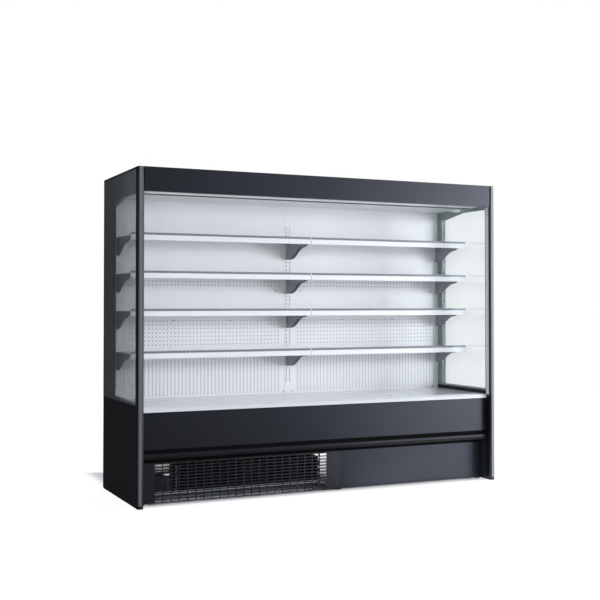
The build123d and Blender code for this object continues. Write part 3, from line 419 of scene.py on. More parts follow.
def enamel_border():
    """Pale on the inner skin; on the outer one a print that gets darker towards the rear."""
    material, tree, shader = new_finish("enamelled_glass_border", "#141c1f", 0.25)
    split = add_node(tree, "ShaderNodeSeparateXYZ", links={"Vector": place_of(tree)})
    distance = add_node(tree, "ShaderNodeMath", links={0: split.outputs["X"]}, operation="ABSOLUTE")
    outside = add_node(
        tree, "ShaderNodeMath", {1: BORDER_MIDDLE}, {0: distance.outputs[0]}, operation="GREATER_THAN"
    )
    fade = add_node(
        tree, "ShaderNodeMapRange", {"From Min": BORDER_FRONT_Y, "From Max": BORDER_REAR_Y},
        {"Value": split.outputs["Y"]}, interpolation_type="SMOOTHSTEP",
    )
    print_colour = add_node(
        tree, "ShaderNodeMix", {6: linear("#6c8189"), 7: linear("#0a0c0d")}, {0: fade.outputs["Result"]},
        data_type="RGBA",
    )
    both = add_node(
        tree, "ShaderNodeMix", {6: linear("#8fa7a3")}, {0: outside.outputs[0], 7: print_colour.outputs[2]},
        data_type="RGBA",
    )
    tree.links.new(both.outputs[2], shader.inputs["Base Color"])
    return material


border = enamel_border()
print("border:", border.name)


# %% [markdown]
# The lamps' diffusers are opal acrylic: milky, smooth, and lit only weakly here, as in the photograph.
# %% Opal acrylic
ACRYLIC_IOR = 1.49
LAMP_GLOW = 0.2


def opal_acrylic():
    """Lamp diffuser: bright, with a faint drift, and a little light of its own."""
    material, tree, shader = new_finish("opal_acrylic", "#a9adb2", 0.3, 0.0, IOR=ACRYLIC_IOR)
    vary_colour(tree, shader, grain(tree, 200 * MM), "#a3a7ac", "#adb1b6")
    shader.inputs["Emission Color"].default_value = linear("#ffffff")
    shader.inputs["Emission Strength"].default_value = LAMP_GLOW
    return material


opal = opal_acrylic()
print("lamp diffuser:", opal.name)


# %% [markdown]
# ## Plastics and rubber
# Housings and fan wheels are moulded ABS with a fine spark-eroded grain. The price rails are extruded PVC,
# smooth and glossy. Bumpers and gaskets are dull, and hardly mirror anything. The near-black matt and the
# dark grey for the stiles' corners are painted shade.
# %% Plastic finishes
PLASTIC_IOR = 1.54


def moulded_plastic(name, low, high, gloss, texture=0.7 * MM, **more):
    """Moulded plastic with an eroded grain of that size."""
    material, tree, shader = new_finish(name, high, gloss[0], IOR=PLASTIC_IOR, **more)
    vary_colour(tree, shader, grain(tree, 80 * MM), low, high)
    vary_roughness(tree, shader, grain(tree, 30 * MM), *gloss)
    add_relief(tree, shader, grain(tree, texture), 0.02 * MM, 0.5)
    return material


abs_black = moulded_plastic("black_abs", "#0f1011", "#161719", (0.42, 0.55))
grid_plastic = moulded_plastic("dark_grid_abs", "#6b7075", "#74797e", (0.5, 0.6))
rail_pvc = moulded_plastic("white_rail_pvc", "#dee0e2", "#e4e6e8", (0.22, 0.32))
bumper_pvc = moulded_plastic(
    "black_bumper_pvc", "#08090a", "#0c0d0e", (0.6, 0.7), Specular_IOR_Level=0.2
)
# Painted shade: a near-black matt for the duct and the recesses at the front.
painted_shade_black = moulded_plastic(
    "painted_shade_black_matt", "#050506", "#0b0b0c", (0.85, 0.95), 2 * MM, Specular_IOR_Level=CHALKY
)
# Painted shade: a dark grey for the inner corner of the stiles.
painted_shade_grey = moulded_plastic("dark_grey_painted_shade", "#2b2d30", "#34363a", (0.5, 0.6))
rubber = moulded_plastic("black_rubber", "#0b0b0c", "#121213", (0.6, 0.75))
shell_enamel = moulded_plastic("black_shell_enamel", "#0a0a0b", "#0f1011", (0.16, 0.26), 1.5 * MM)
switch_abs = moulded_plastic("white_switch_abs", "#dcdfe2", "#e6e8ea", (0.36, 0.46))
strip_card = moulded_plastic("white_ticket_strip", "#dddfe1", "#e4e6e8", (0.4, 0.5), 0.3 * MM)
print("plastics:", abs_black.name, rail_pvc.name, bumper_pvc.name, rubber.name)


# %% [markdown]
# ## Cloth
# Blind cloth is a woven polyester with a silvery coat: two sets of threads, one over the other, drawn here
# as two waves across each other. Its threads are finer than the render can show, so they are drawn 10 mm
# apart.
# %% Woven cloth
THREAD = 10 * MM
WAVE_PHASE = 20  # how many radians a wave texture turns through in one unit at scale 1


def woven_cloth(name, low, high):
    """Warp and weft threads as two bands of waves; the bump and the tone follow both."""
    material, tree, shader = new_finish(name, high, 0.85, Sheen_Weight=0.3, Sheen_Roughness=0.5)
    place = place_of(tree)
    waves = []
    for direction in ("X", "Z"):
        wave = add_node(
            tree, "ShaderNodeTexWave", {"Scale": math.tau / (THREAD * WAVE_PHASE)}, {"Vector": place},
            wave_type="BANDS", bands_direction=direction,
        )
        waves.append(wave.outputs["Fac"])
    both = add_node(tree, "ShaderNodeMath", links={0: waves[0], 1: waves[1]}, operation="MULTIPLY")
    vary_colour(tree, shader, both.outputs[0], low, high)
    add_relief(tree, shader, both.outputs[0], 0.1 * MM, 0.6)
    return material


blind_cloth = woven_cloth("silver_blind_cloth", "#9b9fa2", "#c3c6c8")
print("cloth:", blind_cloth.name, "with threads", round(THREAD / MM, 1), "mm apart")


# %% [markdown]
# ## Which node gets which finish
# The solids already have the right shape, so most of them stay and only take a material. The list reads
# like a bill of materials: one finish, then every piece that has it.
# %% Dressing the solids
finishes = {
    black_coat: ["fascia", "front_panel", "kick_plate"],
    end_coat: ["side_panel_left", "side_panel_right"],
    grille_coat: ["kick_grille"],
    white_coat: ["tank", "back_panels", "ceiling_panels", "fan_plate", "uprights"]
    + [f"shelf_{number}_{side}" for number in (1, 2, 3, 4) for side in ("left", "right")],
    deck_coat: ["deck_pan_left", "deck_pan_right"],
    lip_coat: ["deck_lip"],
    outer_coat: ["back_wall", "roof_panel"],
    grey_coat: ["shelf_brackets"],
    zinc_sheet: ["base_frame", "condenser_shroud"],
    tray_coat: ["machine_tray"],
    stile_metal: ["stile_left", "stile_right"],
    bar_metal: ["blind_bar_left", "blind_bar_right"],
    fin_metal: ["condenser", "evaporator"],
    clear_glass: ["side_glass"],
    border: ["window_border"],
    opal: ["lamps"],
    grid_plastic: ["air_outlet"],
    rail_pvc: ["price_rails"],
    bumper_pvc: ["bumper_rail", "side_trim"],
    shell_enamel: ["compressor"],
    rubber: [f"foot_{row}_{side}" for row in ("front", "rear") for side in ("left", "middle", "right")],
    switch_abs: ["switch_housing", "lamp_switch"],
    abs_black: ["electrical_box", "blind_brackets"]
    + [f"{kind}_fan_{side}" for kind in ("tank", "condenser") for side in ("left", "right")],
    blind_cloth: ["blind_roller_left", "blind_roller_right", "blind_sheet_left", "blind_sheet_right"],
}
for material, names in finishes.items():
    for name in names:
        nodes[name].data.materials.clear()
        nodes[name].data.materials.append(material)
missing = set(nodes) - {name for names in finishes.values() for name in names}
print("nodes without a finish:", sorted(missing))


# %% [markdown]
# ## Perforated back panels
# The inner back panels are white sheet punched with round holes, so that cold air leaks out over their
# whole width: a close grid above the deck, a wider one behind the lowest shelf, and two rows higher up.
# Painted dots would look flat from close by, so the sheets are rebuilt with real holes. A sheet is a grid
# of cells: a holed cell is a ring of faces around eight corners, on both sides of the sheet, joined by the
# wall of the hole.
# %% One hole in a sheet
HOLE_RADIUS = 3.5 * MM
HOLE_SIDES = 8
PANEL_THICK = 2 * MM
panel_low, panel_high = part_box("back_panels")
panel_front_y = panel_high.y - PANEL_THICK


def hole_ring(x, z):
    """Corners of one hole, starting to the right and going round."""
    turn = 2 * math.pi / HOLE_SIDES
    angles = [turn * (corner + 0.5) for corner in range(HOLE_SIDES)]
    return [(x + HOLE_RADIUS * math.cos(a), z + HOLE_RADIUS * math.sin(a)) for a in angles]


def holed_cell(corners, faces, x, z, half_x, half_z):
    """One cell with a hole through it, added to a mesh's lists."""
    cell = [(x + u * half_x, z + w * half_z) for u, w in ((1, -1), (1, 1), (-1, 1), (-1, -1))]
    flat = cell + hole_ring(x, z)
    first = len(corners)
    count = len(flat)
    corners += [(u, y, w) for y in (panel_front_y, panel_high.y) for u, w in flat]
    hole = [len(cell) + side for side in range(HOLE_SIDES)]
    ring = []
    for side in range(len(cell)):
        after = (side + 1) % len(cell)
        before, middle, beyond = (hole[(2 * side + step) % HOLE_SIDES] for step in (-1, 0, 1))
        ring += [(side, after, middle, before), (after, beyond, middle)]
    for face in ring:
        faces.append(tuple(first + corner for corner in face))
        faces.append(tuple(first + count + corner for corner in reversed(face)))
    for side in range(HOLE_SIDES):
        a = first + hole[side]
        b = first + hole[(side + 1) % HOLE_SIDES]
        faces.append((a, b, b + count, a + count))


print("holes of", round(2 * HOLE_RADIUS / MM), "mm")


# %% [markdown]
# A field of holes is a block of such cells. What is left of the sheet around it is made of plain boxes.
# %% A field of holes
HOLE_COLUMN_PITCH = 25.5 * MM


def punched_sheet(corners, faces, x0, x1, z0, z1, columns, rows, row_pitch):
    """A sheet between x0, x1 and z0, z1 with a hole at each crossing of the columns and rows."""
    half_x = HOLE_COLUMN_PITCH / 2
    half_z = row_pitch / 2
    for x in columns:
        for z in rows:
            holed_cell(corners, faces, x, z, half_x, half_z)
    left, right = columns[0] - half_x, columns[-1] + half_x
    low, high = rows[0] - half_z, rows[-1] + half_z
    plain = [(x0, left, z0, z1), (right, x1, z0, z1), (left, right, z0, low), (left, right, high, z1)]
    for u0, u1, w0, w1 in plain:
        if w1 - w0 > 0 and u1 - u0 > 0:
            add_box(corners, faces, (u0, panel_front_y, w0), (u1, panel_high.y, w1))


print("columns every", HOLE_COLUMN_PITCH / MM, "mm")


# %% [markdown]
# Each bay has three sheets one above the other. The lowest carries the ledge that the deck pan rests on.
# The middle one has a field of holes low down and two rows near its top, and the highest has none.
# %% The back panels
SEAM = 0.4 * MM
HOLE_COLUMNS = 43
CLOSE_PITCH = 15 * MM
WIDE_PITCH = 26 * MM
PANEL_INNER_X = 25 * MM
FIRST_COLUMN_X = PANEL_INNER_X + 47 * MM
deck_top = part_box("deck_pan_left")[1].z
lower_seam_z = deck_top + 290 * MM
between_fields_z = deck_top + 620 * MM
upper_seam_z = deck_top + 780 * MM
hole_fields = [  # from and to which height, height of the first row, how many rows, and their pitch
    (panel_low.z, lower_seam_z - SEAM, deck_top + 17 * MM, 18, CLOSE_PITCH),
    (lower_seam_z + SEAM, between_fields_z, deck_top + 319 * MM, 8, WIDE_PITCH),
    (between_fields_z, upper_seam_z - SEAM, deck_top + 735 * MM, 2, WIDE_PITCH),
]


def back_panels():
    """Six sheets, three in each bay, with their holes and the ledge under the deck pans."""
    corners = []
    faces = []
    spots = [FIRST_COLUMN_X + HOLE_COLUMN_PITCH * number for number in range(HOLE_COLUMNS)]
    for side in (-1, 1):
        left, right = sorted((side * PANEL_INNER_X, side * panel_high.x))
        columns = sorted(side * spot for spot in spots)
        for z0, z1, first_row, count, pitch in hole_fields:
            rows = [first_row + pitch * number for number in range(count)]
            punched_sheet(corners, faces, left, right, z0, z1, columns, rows, pitch)
        plain_foot = (left, panel_front_y, upper_seam_z + SEAM)
        ledge_top = panel_low.z + PANEL_THICK
        add_box(corners, faces, plain_foot, (right, panel_high.y, panel_high.z))
        add_box(corners, faces, (left, panel_low.y, panel_low.z), (right, panel_front_y, ledge_top))
    return make_mesh("perforated_back_panels", corners, faces)


perforated = dress(back_panels(), white_coat)
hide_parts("back_panels")
print(perforated.name, len(perforated.data.polygons), "faces")


# %% [markdown]
# A black sheet behind the panels paints the shade inside the air duct, so holes and upright slots read as
# dark dots.
# %% Painted shade in the duct
DUCT_SHADE_THICK = 2 * MM
DUCT_SHADE_GAP = 1 * MM
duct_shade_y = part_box("uprights")[1].y + DUCT_SHADE_GAP
# Painted shade: a black sheet behind the holes.
duct_shade = make_boxes("duct_painted_shade", [
    ((-panel_high.x, duct_shade_y, deck_top), (panel_high.x, duct_shade_y + DUCT_SHADE_THICK, panel_high.z)),
])
dress(duct_shade, painted_shade_black)
print("duct_shade", round((duct_shade_y - panel_high.y) / MM), "mm behind the panels")


# %% [markdown]
# ## The dark border between the panes
# The spacer bars and their enamel lie between the two panes. A hair of air on both sides keeps them from
# sharing a plane with the glass, which would render as dark patches.
# %% Border between the panes
AIR_GAP = 0.5 * MM
PANE_THICK = 5 * MM
WINDOW_SILL = 18 * MM
WINDOW_JAMB = 12 * MM
WINDOW_HEAD = 155 * MM
WINDOW_REAR = 195 * MM
WINDOW_SLOPE = 235 * MM
WINDOW_SLOPE_DROP = 36 * MM
side_low, side_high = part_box("side_glass")
border_low, border_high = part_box("window_border")
border_inner_x = stile_low.x + PANE_THICK
window_top_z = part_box("side_trim")[1].z - WINDOW_HEAD
window_rear_y = side_high.y - WINDOW_REAR
window_slope_y = window_rear_y - WINDOW_SLOPE


def border_outline():
    """The border's outer edge and the clear window's edge, as matching lists of (y, z) corners."""
    y0, y1 = border_low.y, border_high.y
    z0, z1 = border_low.z, border_high.z
    slope_z = window_top_z - WINDOW_SLOPE_DROP
    outer = [(y0, z0), (y1, z0), (y1, z1), (window_slope_y, z1), (y0, z1)]
    sill_z = z0 + WINDOW_SILL
    jamb_y = y0 + WINDOW_JAMB
    inner = [
        (jamb_y, sill_z), (window_rear_y, sill_z), (window_rear_y, slope_z),
        (window_slope_y, window_top_z), (jamb_y, window_top_z),
    ]
    return outer, inner


def pane_borders():
    """A flat frame with some thickness in each end wall."""
    outer, inner = border_outline()
    count = len(outer)
    corners = []
    faces = []
    for side in (-1, 1):
        skins = (side * (border_inner_x + AIR_GAP), side * (border_high.x - AIR_GAP))
        first = len(corners)
        for x in skins:
            corners += [(x, y, z) for y, z in outer + inner]
        for place in range(count):
            after = (place + 1) % count
            ring = [place, after, count + after, count + place]
            faces.append([first + corner for corner in ring])
            faces.append([first + 2 * count + corner for corner in reversed(ring)])
            for start in (first, first + count):
                near, far = start + place, start + after
                faces.append([near, far, far + 2 * count, near + 2 * count])
    return make_mesh("pane_borders", corners, faces)


def face_outwards(piece):
    """Turns every face of a closed mesh to the outside."""
    bm = bmesh.new()
    bm.from_mesh(piece.data)
    bmesh.ops.recalc_face_normals(bm, faces=bm.faces)
    bm.to_mesh(piece.data)
    bm.free()
    return piece


pane_border = dress(face_outwards(pane_borders()), border)
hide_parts("window_border")
print(pane_border.name, len(pane_border.data.polygons), "faces")


# %% [markdown]
# Along the foot of each window, inside, a black rubber gasket seals the panes against the deck.
# %% Sill gaskets
GASKET_THICK = 0.8 * MM
GASKET_HIGH = 22 * MM
GASKET_GAP = 1 * MM
PANE_GAP = 0.1 * MM
gasket_z = deck_top + GASKET_GAP
gaskets = make_boxes("sill_gaskets", [
    ((x0, side_low.y, gasket_z), (x1, panel_front_y - GASKET_GAP, gasket_z + GASKET_HIGH))
    for x0, x1 in both_ends(stile_low.x - GASKET_THICK, stile_low.x - PANE_GAP)
])
dress(gaskets, rubber)
print("gaskets", round((panel_front_y - side_low.y) / MM), "mm long")


# %% [markdown]
# ## Covers on the stiles
# Only the nose of each stile is left bare. Thin profiles lie over the rest: along the opening a white one on
# the inner side, and a rubber shoe at the foot. The dark grey strip round the inner corner and the black
# ones elsewhere are painted shade: on the sides of the rounded stile that turn away from the light, and
# below and above the opening. Each follows part of the stile's outline, so the outline comes first, as a
# path round the nose.
# %% The stile's outline
COVER_THICK = 0.6 * MM
COVER_GAP = 0.05 * MM
NOSE_RADIUS = 13 * MM
NOSE_STEPS = 6


def nose_path(offset):
    """The outline from a stile's inner rear edge round its nose to the outer rear edge, as (x, y)."""
    reach = NOSE_RADIUS + offset
    points = [(stile_low.x - offset, stile_high.y)]
    middle_y = stile_low.y + NOSE_RADIUS
    for middle_x, first in ((stile_low.x + NOSE_RADIUS, 180), (stile_high.x - NOSE_RADIUS, 270)):
        for step in range(NOSE_STEPS + 1):
            angle = math.radians(first + 90 * step / NOSE_STEPS)
            points.append((middle_x + reach * math.cos(angle), middle_y + reach * math.sin(angle)))
    return points + [(stile_high.x + offset, stile_high.y)]


print("outline of", len(nose_path(0)), "points")


# %% [markdown]
# A cover is the strip between two such paths, one just off the metal and one a little further out, from one
# point of the outline to another and between two heights. Both stiles get it, mirrored.
# %% Clip-on profiles
def stile_cover(name, first, last, z0, z1, material, slot_name):
    """One thin profile on both stiles, from one point of the outline to another."""
    skins = [nose_path(offset)[first:last + 1] for offset in (COVER_THICK, COVER_GAP)]
    count = len(skins[0])
    top = 2 * count
    corners = []
    faces = []
    for side in (-1, 1):
        start = len(corners)
        corners += [(side * x, y, z) for z in (z0, z1) for skin in skins for x, y in skin]
        for near in range(start, start + count - 1):
            far = near + 1
            back, ahead = near + count, far + count
            faces += [(near, far, far + top, near + top), (ahead, back, back + top, ahead + top)]
            faces += [(near, far, ahead, back), (near + top, far + top, ahead + top, back + top)]
        for end in (start, start + count - 1):
            faces.append((end, end + count, end + count + top, end + top))
    return dress(face_outwards(make_mesh(name, corners, faces)), material)


SHOE_HIGH = 12 * MM
NOSE_END = NOSE_STEPS + 1
OUTER_START = NOSE_STEPS + 2 + NOSE_STEPS // 2
PATH_END = 2 * NOSE_STEPS + 3
opening = (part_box("deck_lip")[1].z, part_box("fascia")[0].z)
shoe_top = stile_low.z + SHOE_HIGH
stile_cover("stile_liner", 0, 1, *opening, white_coat, "white_coated_steel")
# The dark corner strip, the black strips below and above the opening and the one on the outer side are
# painted shade.
stile_cover("stile_corner_painted_shade", 1, NOSE_END, *opening, painted_shade_grey, "rail_plastic")
stile_cover("stile_low_painted_shade", 0, NOSE_END, shoe_top, opening[0], black_coat, "black_coated_steel")
stile_cover("stile_high_painted_shade", 0, NOSE_END, opening[1], stile_high.z, black_coat, "black_coated_steel")
stile_cover(
    "stile_outer_painted_shade", OUTER_START, PATH_END, shoe_top, stile_high.z, end_coat, "black_coated_steel"
)
stile_cover("stile_shoe", 0, PATH_END, stile_low.z, shoe_top, rubber, "foot_plastic")
print("covers along", round((opening[1] - opening[0]) / MM), "mm of opening")


# %% [markdown]
# Each end wall stands on a rubber skid nearly as long as the wall, which keeps its sheet off the floor.
# %% Skids
SKID_INSET = 2 * MM
SKID_LOW = 0.3 * MM
skid_front_y = stile_low.y + 2 * SKID_INSET
skid_rear_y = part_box("side_panel_right")[1].y - SKID_INSET
skids = make_boxes("side_skids", [
    ((x0, skid_front_y, SKID_LOW), (x1, skid_rear_y, stile_low.z))
    for x0, x1 in both_ends(stile_low.x + SKID_INSET, stile_high.x - SKID_INSET)
])
dress(round_edges(skids, SKID_INSET), rubber)
print("skids", round((skid_rear_y - skid_front_y) / MM), "mm long")


# %% [markdown]
# ## Shelf fronts
# A strip of smoked acrylic stands in the top of every price rail and keeps goods from sliding off; from
# below it reads as a dark line above the rail, and its grey is partly painted shade for the shaded gap at
# the shelf's front. The rail itself holds a blank white ticket strip between its lips. Both are bars along
# every shelf, so one function makes them.
# %% Bars along the shelves
SHELF_DROP = 30 * MM
shelf_tops = [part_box(f"shelf_{number}_left")[0].z + SHELF_DROP for number in (1, 2, 3, 4)]
bays = [(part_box(f"shelf_1_{side}")[0].x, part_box(f"shelf_1_{side}")[1].x) for side in ("left", "right")]


def strips(name, y0, y1, bottom, top, inset):
    """One long bar for each bay of each shelf, between two heights measured from the shelf's top."""
    boxes = []
    for shelf_z in shelf_tops:
        for x0, x1 in bays:
            boxes.append(((x0 + inset, y0, shelf_z + bottom), (x1 - inset, y1, shelf_z + top)))
    return make_boxes(name, boxes)


print("shelf tops at", [round(top / MM) for top in shelf_tops], "mm")


# %% [markdown]
# Smoked acrylic is clear acrylic with a grey dye. It is cast, so it is smooth, and only its gloss drifts.
# Half of the light goes through, which is enough to see the shelf's edge behind it. Its grey is partly
# painted shade.
# %% Smoked acrylic
def smoked_acrylic_painted_shade():
    """Grey see-through acrylic with a smooth skin; the grey is partly painted shade."""
    material, tree, shader = new_finish("smoked_acrylic_painted_shade", "#a3abb1", 0.12, IOR=ACRYLIC_IOR)
    shader.inputs["Transmission Weight"].default_value = 0.5
    vary_colour(tree, shader, grain(tree, 300 * MM), "#99a1a8", "#a3abb1")
    vary_roughness(tree, shader, grain(tree, 80 * MM), 0.1, 0.18)
    return material


smoke_and_shade = smoked_acrylic_painted_shade()
print("guards' finish:", smoke_and_shade.name)


# %% [markdown]
# The guards stand a little behind the rails' front, and the ticket strips lie in the rails' recess.
# %% Guards and ticket strips
GUARD_HIGH = 14 * MM
GUARD_THICK = 2 * MM
GUARD_INSET = 1.5 * MM
RAIL_HIGH = 32 * MM
RAIL_LIP = 3 * MM
RAIL_RECESS = 1 * MM
STRIP_CARD_THICK = 0.5 * MM
STRIP_CARD_INSET = 2 * MM
rail_front_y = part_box("price_rails")[0].y
guard_y = rail_front_y + GUARD_INSET
# The grey strips are partly painted shade.
guards = strips("shelf_guards_painted_shade", guard_y, guard_y + GUARD_THICK, 0, GUARD_HIGH, GUARD_INSET)
dress(round_edges(guards, 0.5 * MM), smoke_and_shade)
ticket_y = rail_front_y + RAIL_RECESS
ticket_span = (ticket_y - STRIP_CARD_THICK, ticket_y, RAIL_LIP - RAIL_HIGH, -RAIL_LIP)
tickets = strips("ticket_strips", *ticket_span, STRIP_CARD_INSET)
dress(tickets, strip_card)
print(guards.name, tickets.name, "on", len(shelf_tops), "levels")


# %% [markdown]
# ## Painted shade under the front panel
# Black strips paint the shade in the recess between the front panel and the bumper, and under the bumper
# along the top edge of the kick panels. They take in nearly all light, which is what makes both read as
# black lines.
# %% Painted shade strips
SHADE_STRIP_THICK = 0.8 * MM
KICK_SHADE_HIGH = 36 * MM
tank_low, tank_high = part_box("tank")
kick_low, kick_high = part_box("kick_grille")[0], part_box("kick_plate")[1]
bumper_low, bumper_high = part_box("bumper_rail")
panel_foot_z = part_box("front_panel")[0].z
kick_shade_z = kick_high.z - KICK_SHADE_HIGH
# Painted shade: black strips in the recess and under the bumper.
painted_shade_strips = make_boxes("painted_shade_strips", [
    ((tank_low.x, tank_low.y - SHADE_STRIP_THICK, bumper_high.z), (tank_high.x, tank_low.y, panel_foot_z)),
    ((kick_low.x, kick_low.y - SHADE_STRIP_THICK, kick_shade_z), (kick_high.x, kick_low.y, kick_high.z)),
])
dress(painted_shade_strips, painted_shade_black)
print("recess", round((panel_foot_z - bumper_high.z) / MM, 1), "mm high")


# %% [markdown]
# The bumper is a dull profile with one smoother bead pressed into its face, which catches a thin line of
# light.
# %% Bumper bead
BEAD_DROP = 6 * MM
BEAD_HIGH = 12 * MM
BEAD_PROUD = 0.8 * MM
BEAD_INSET = 4 * MM
bead_z = bumper_high.z - BEAD_DROP
bead = make_boxes("bumper_bead", [
    ((bumper_low.x + BEAD_INSET, bumper_low.y - BEAD_PROUD, bead_z - BEAD_HIGH),
     (bumper_high.x - BEAD_INSET, bumper_low.y, bead_z)),
])
dress(round_edges(bead, BEAD_PROUD / 2), black_coat)
print("bead", round((bumper_high.x - bumper_low.x - 2 * BEAD_INSET) / MM), "mm long")


# %% [markdown]
# ## Coils
# Condenser and evaporator are tubes that run back and forth through a pack of thin aluminium fins, held
# between two galvanised end plates. Real fins stand 2 to 4 mm apart. The condenser's do so here too, and
# the evaporator's stand 8 mm apart, so that they still show.
# %% Fins and end plates
END_PLATE = 2 * MM
PLATE_FLANGE = 12 * MM
FIN_THICK = 0.4 * MM
FIN_SETBACK = 8 * MM


def fin_pack(name, low, high, pitch):
    """Upright fins side by side along X, between the end plates."""
    count = int((high.x - low.x - 2 * END_PLATE) / pitch)
    boxes = []
    for number in range(1, count):
        x = low.x + END_PLATE + number * pitch
        boxes.append(((x, low.y + FIN_SETBACK, low.z), (x + FIN_THICK, high.y, high.z)))
    return make_boxes(name, boxes)


def end_plates(name, low, high):
    """Both end plates of a coil, with a folded flange at the front."""
    boxes = []
    for x, way in ((low.x, 1), (high.x, -1)):
        plate = sorted((x, x + way * END_PLATE))
        fold = sorted((x, x + way * PLATE_FLANGE))
        boxes.append(((plate[0], low.y, low.z), (plate[1], high.y, high.z)))
        boxes.append(((fold[0], low.y, low.z), (fold[1], low.y + END_PLATE, high.z)))
    return make_boxes(name, boxes)


print("fins", FIN_THICK / MM, "mm thick")


# %% [markdown]
# The tube is one line that climbs from level to level. At each end of a level it is bent round outside the
# end plate, as half a circle.
# %% A tube through the fins
COIL_TUBE_RADIUS = 4.8 * MM
TUBE_REACH = 4 * MM
BEND_STEPS = 6


def serpentine(low, high, y, levels):
    """One tube that climbs back and forth through the fins, as a list of points."""
    step = (high.z - low.z) / levels
    points = []
    for level in range(levels):
        z = low.z + step * (level + 0.5)
        ends = [(low.x - TUBE_REACH, y, z), (high.x + TUBE_REACH, y, z)]
        if level % 2:
            ends.reverse()
        points += ends
        if level < levels - 1:
            way = -1 if level % 2 else 1
            for part in range(1, BEND_STEPS):
                angle = math.pi * part / BEND_STEPS
                bulge = way * step / 2 * math.sin(angle)
                points.append((ends[1][0] + bulge, y, z + step / 2 * (1 - math.cos(angle))))
    return points


def coil(node, fins, tubes, pitch, levels, tube_rows):
    """Fins, end plates and tubes in place of a plain coil block."""
    low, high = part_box(node)
    pack = dress(fin_pack(f"{node}_fins", low, high, pitch), fins)
    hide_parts(node)
    dress(end_plates(f"{node}_end_plates", low, high), zinc_sheet)
    depth = high.y - low.y - FIN_SETBACK
    rows = [low.y + FIN_SETBACK + depth * (row + 0.5) / tube_rows for row in range(tube_rows)]
    paths = [(serpentine(low, high, y, levels), False) for y in rows]
    dress(make_tubes(f"{node}_tubes", paths, COIL_TUBE_RADIUS), tubes)
    print(pack.name, len(pack.data.polygons) // len(BOX_QUADS), "fins")


coil("condenser", dusty_fins, dusty_fins, pitch=4 * MM, levels=7, tube_rows=3)
coil("evaporator", fin_metal, copper, pitch=8 * MM, levels=8, tube_rows=5)


# %% [markdown]
# ## Fan guards
# Wire rings welded to four spokes keep fingers out of every fan.
# %% One wire guard
WIRE_RADIUS = 1.2 * MM
RING_SIDES = 40
RING_SHARES = (0.25, 0.44, 0.63, 0.82, 1.0)
SPOKE_END = 1.08


def wire_ring(x, y, z, radius):
    """A closed ring of wire around the Y axis."""
    angles = [2 * math.pi * step / RING_SIDES for step in range(RING_SIDES)]
    return [(x + radius * math.cos(a), y, z + radius * math.sin(a)) for a in angles], True


def fan_guard(name, x, y, z, reach):
    """Rings and spokes over one fan."""
    paths = [wire_ring(x, y, z, reach * share) for share in RING_SHARES]
    for quarter in range(4):
        angle = math.pi * (quarter / 2 + 0.25)
        spoke = [reach * share for share in (RING_SHARES[0], SPOKE_END)]
        ends = [(x + radius * math.cos(angle), y, z + radius * math.sin(angle)) for radius in spoke]
        paths.append((ends, False))
    return dress(make_tubes(name, paths, WIRE_RADIUS), screw_metal)


print("a guard has", len(RING_SHARES), "rings")


# %% [markdown]
# The condenser's fans sit in the shroud behind it, and their guards lie on the shroud's rear face. The
# tank's fans sit in the fan plate in front of the evaporator, and their guards stand before the blades.
# %% Guards over the four fans
CONDENSER_FAN_X = 230 * MM
TANK_FAN_X = 600 * MM
CONDENSER_GUARD_REACH = 66 * MM
TANK_GUARD_REACH = 96 * MM
TANK_GUARD_GAP = 6 * MM
SHROUD_GAP = 0.4 * MM
shroud_low, shroud_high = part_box("condenser_shroud")
shroud_x = (shroud_low.x + shroud_high.x) / 2
shroud_z = (shroud_low.z + shroud_high.z) / 2
shroud_guard_y = shroud_high.y + SHROUD_GAP + WIRE_RADIUS
for side, way in (("left", -1), ("right", 1)):
    fan_x = shroud_x + way * CONDENSER_FAN_X
    fan_guard(f"condenser_guard_{side}", fan_x, shroud_guard_y, shroud_z, CONDENSER_GUARD_REACH)
    fan_low, fan_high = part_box(f"tank_fan_{side}")
    fan_z = (fan_low.z + fan_high.z) / 2
    made = fan_guard(
        f"tank_guard_{side}", way * TANK_FAN_X, fan_low.y - TANK_GUARD_GAP, fan_z, TANK_GUARD_REACH
    )
    print("guards on the", side, "like", made.name)


# %% [markdown]
# ## Rear guard
# The machine compartment is closed at the back by expanded metal, so that the condenser's air gets out.
# Slit sheet is pulled into diamonds; here each row of strands is a straight wire, one set sloping each way.
# A frame of flat bars holds the mesh.
# %% Expanded metal
STRAND_RADIUS = 1.4 * MM
STRAND_STEP = 6 * MM
STRAND_SLOPE = 0.5
GUARD_BORDER = 14 * MM
GUARD_DROP = 4 * MM


def expanded_metal(x0, x1, z0, z1, y):
    """Wires that slope up one way and then the other, cut off at the edges of a rectangle."""
    wide, high = x1 - x0, z1 - z0
    paths = []
    for number in range(int((wide * STRAND_SLOPE + high) / STRAND_STEP)):
        rise = high - number * STRAND_STEP
        near = max(0.0, -rise / STRAND_SLOPE)
        far = min(wide, (high - rise) / STRAND_SLOPE)
        if far - near < STRAND_STEP:
            continue
        ends = [(near, rise + STRAND_SLOPE * near), (far, rise + STRAND_SLOPE * far)]
        paths.append(([(x0 + u, y, z0 + w) for u, w in ends], False))
        paths.append(([(x1 - u, y, z0 + w) for u, w in ends], False))
    return make_tubes("rear_guard_mesh", paths, STRAND_RADIUS, 4)


def guard_frame(x0, x1, z0, z1, y):
    """Four flat bars around the mesh."""
    bars = [
        (x0, x1, z0, z0 + GUARD_BORDER), (x0, x1, z1 - GUARD_BORDER, z1),
        (x0, x0 + GUARD_BORDER, z0, z1), (x1 - GUARD_BORDER, x1, z0, z1),
    ]
    return make_boxes("rear_guard_frame", [
        ((left, y - STRAND_RADIUS, low), (right, y + STRAND_RADIUS, high)) for left, right, low, high in bars
    ])


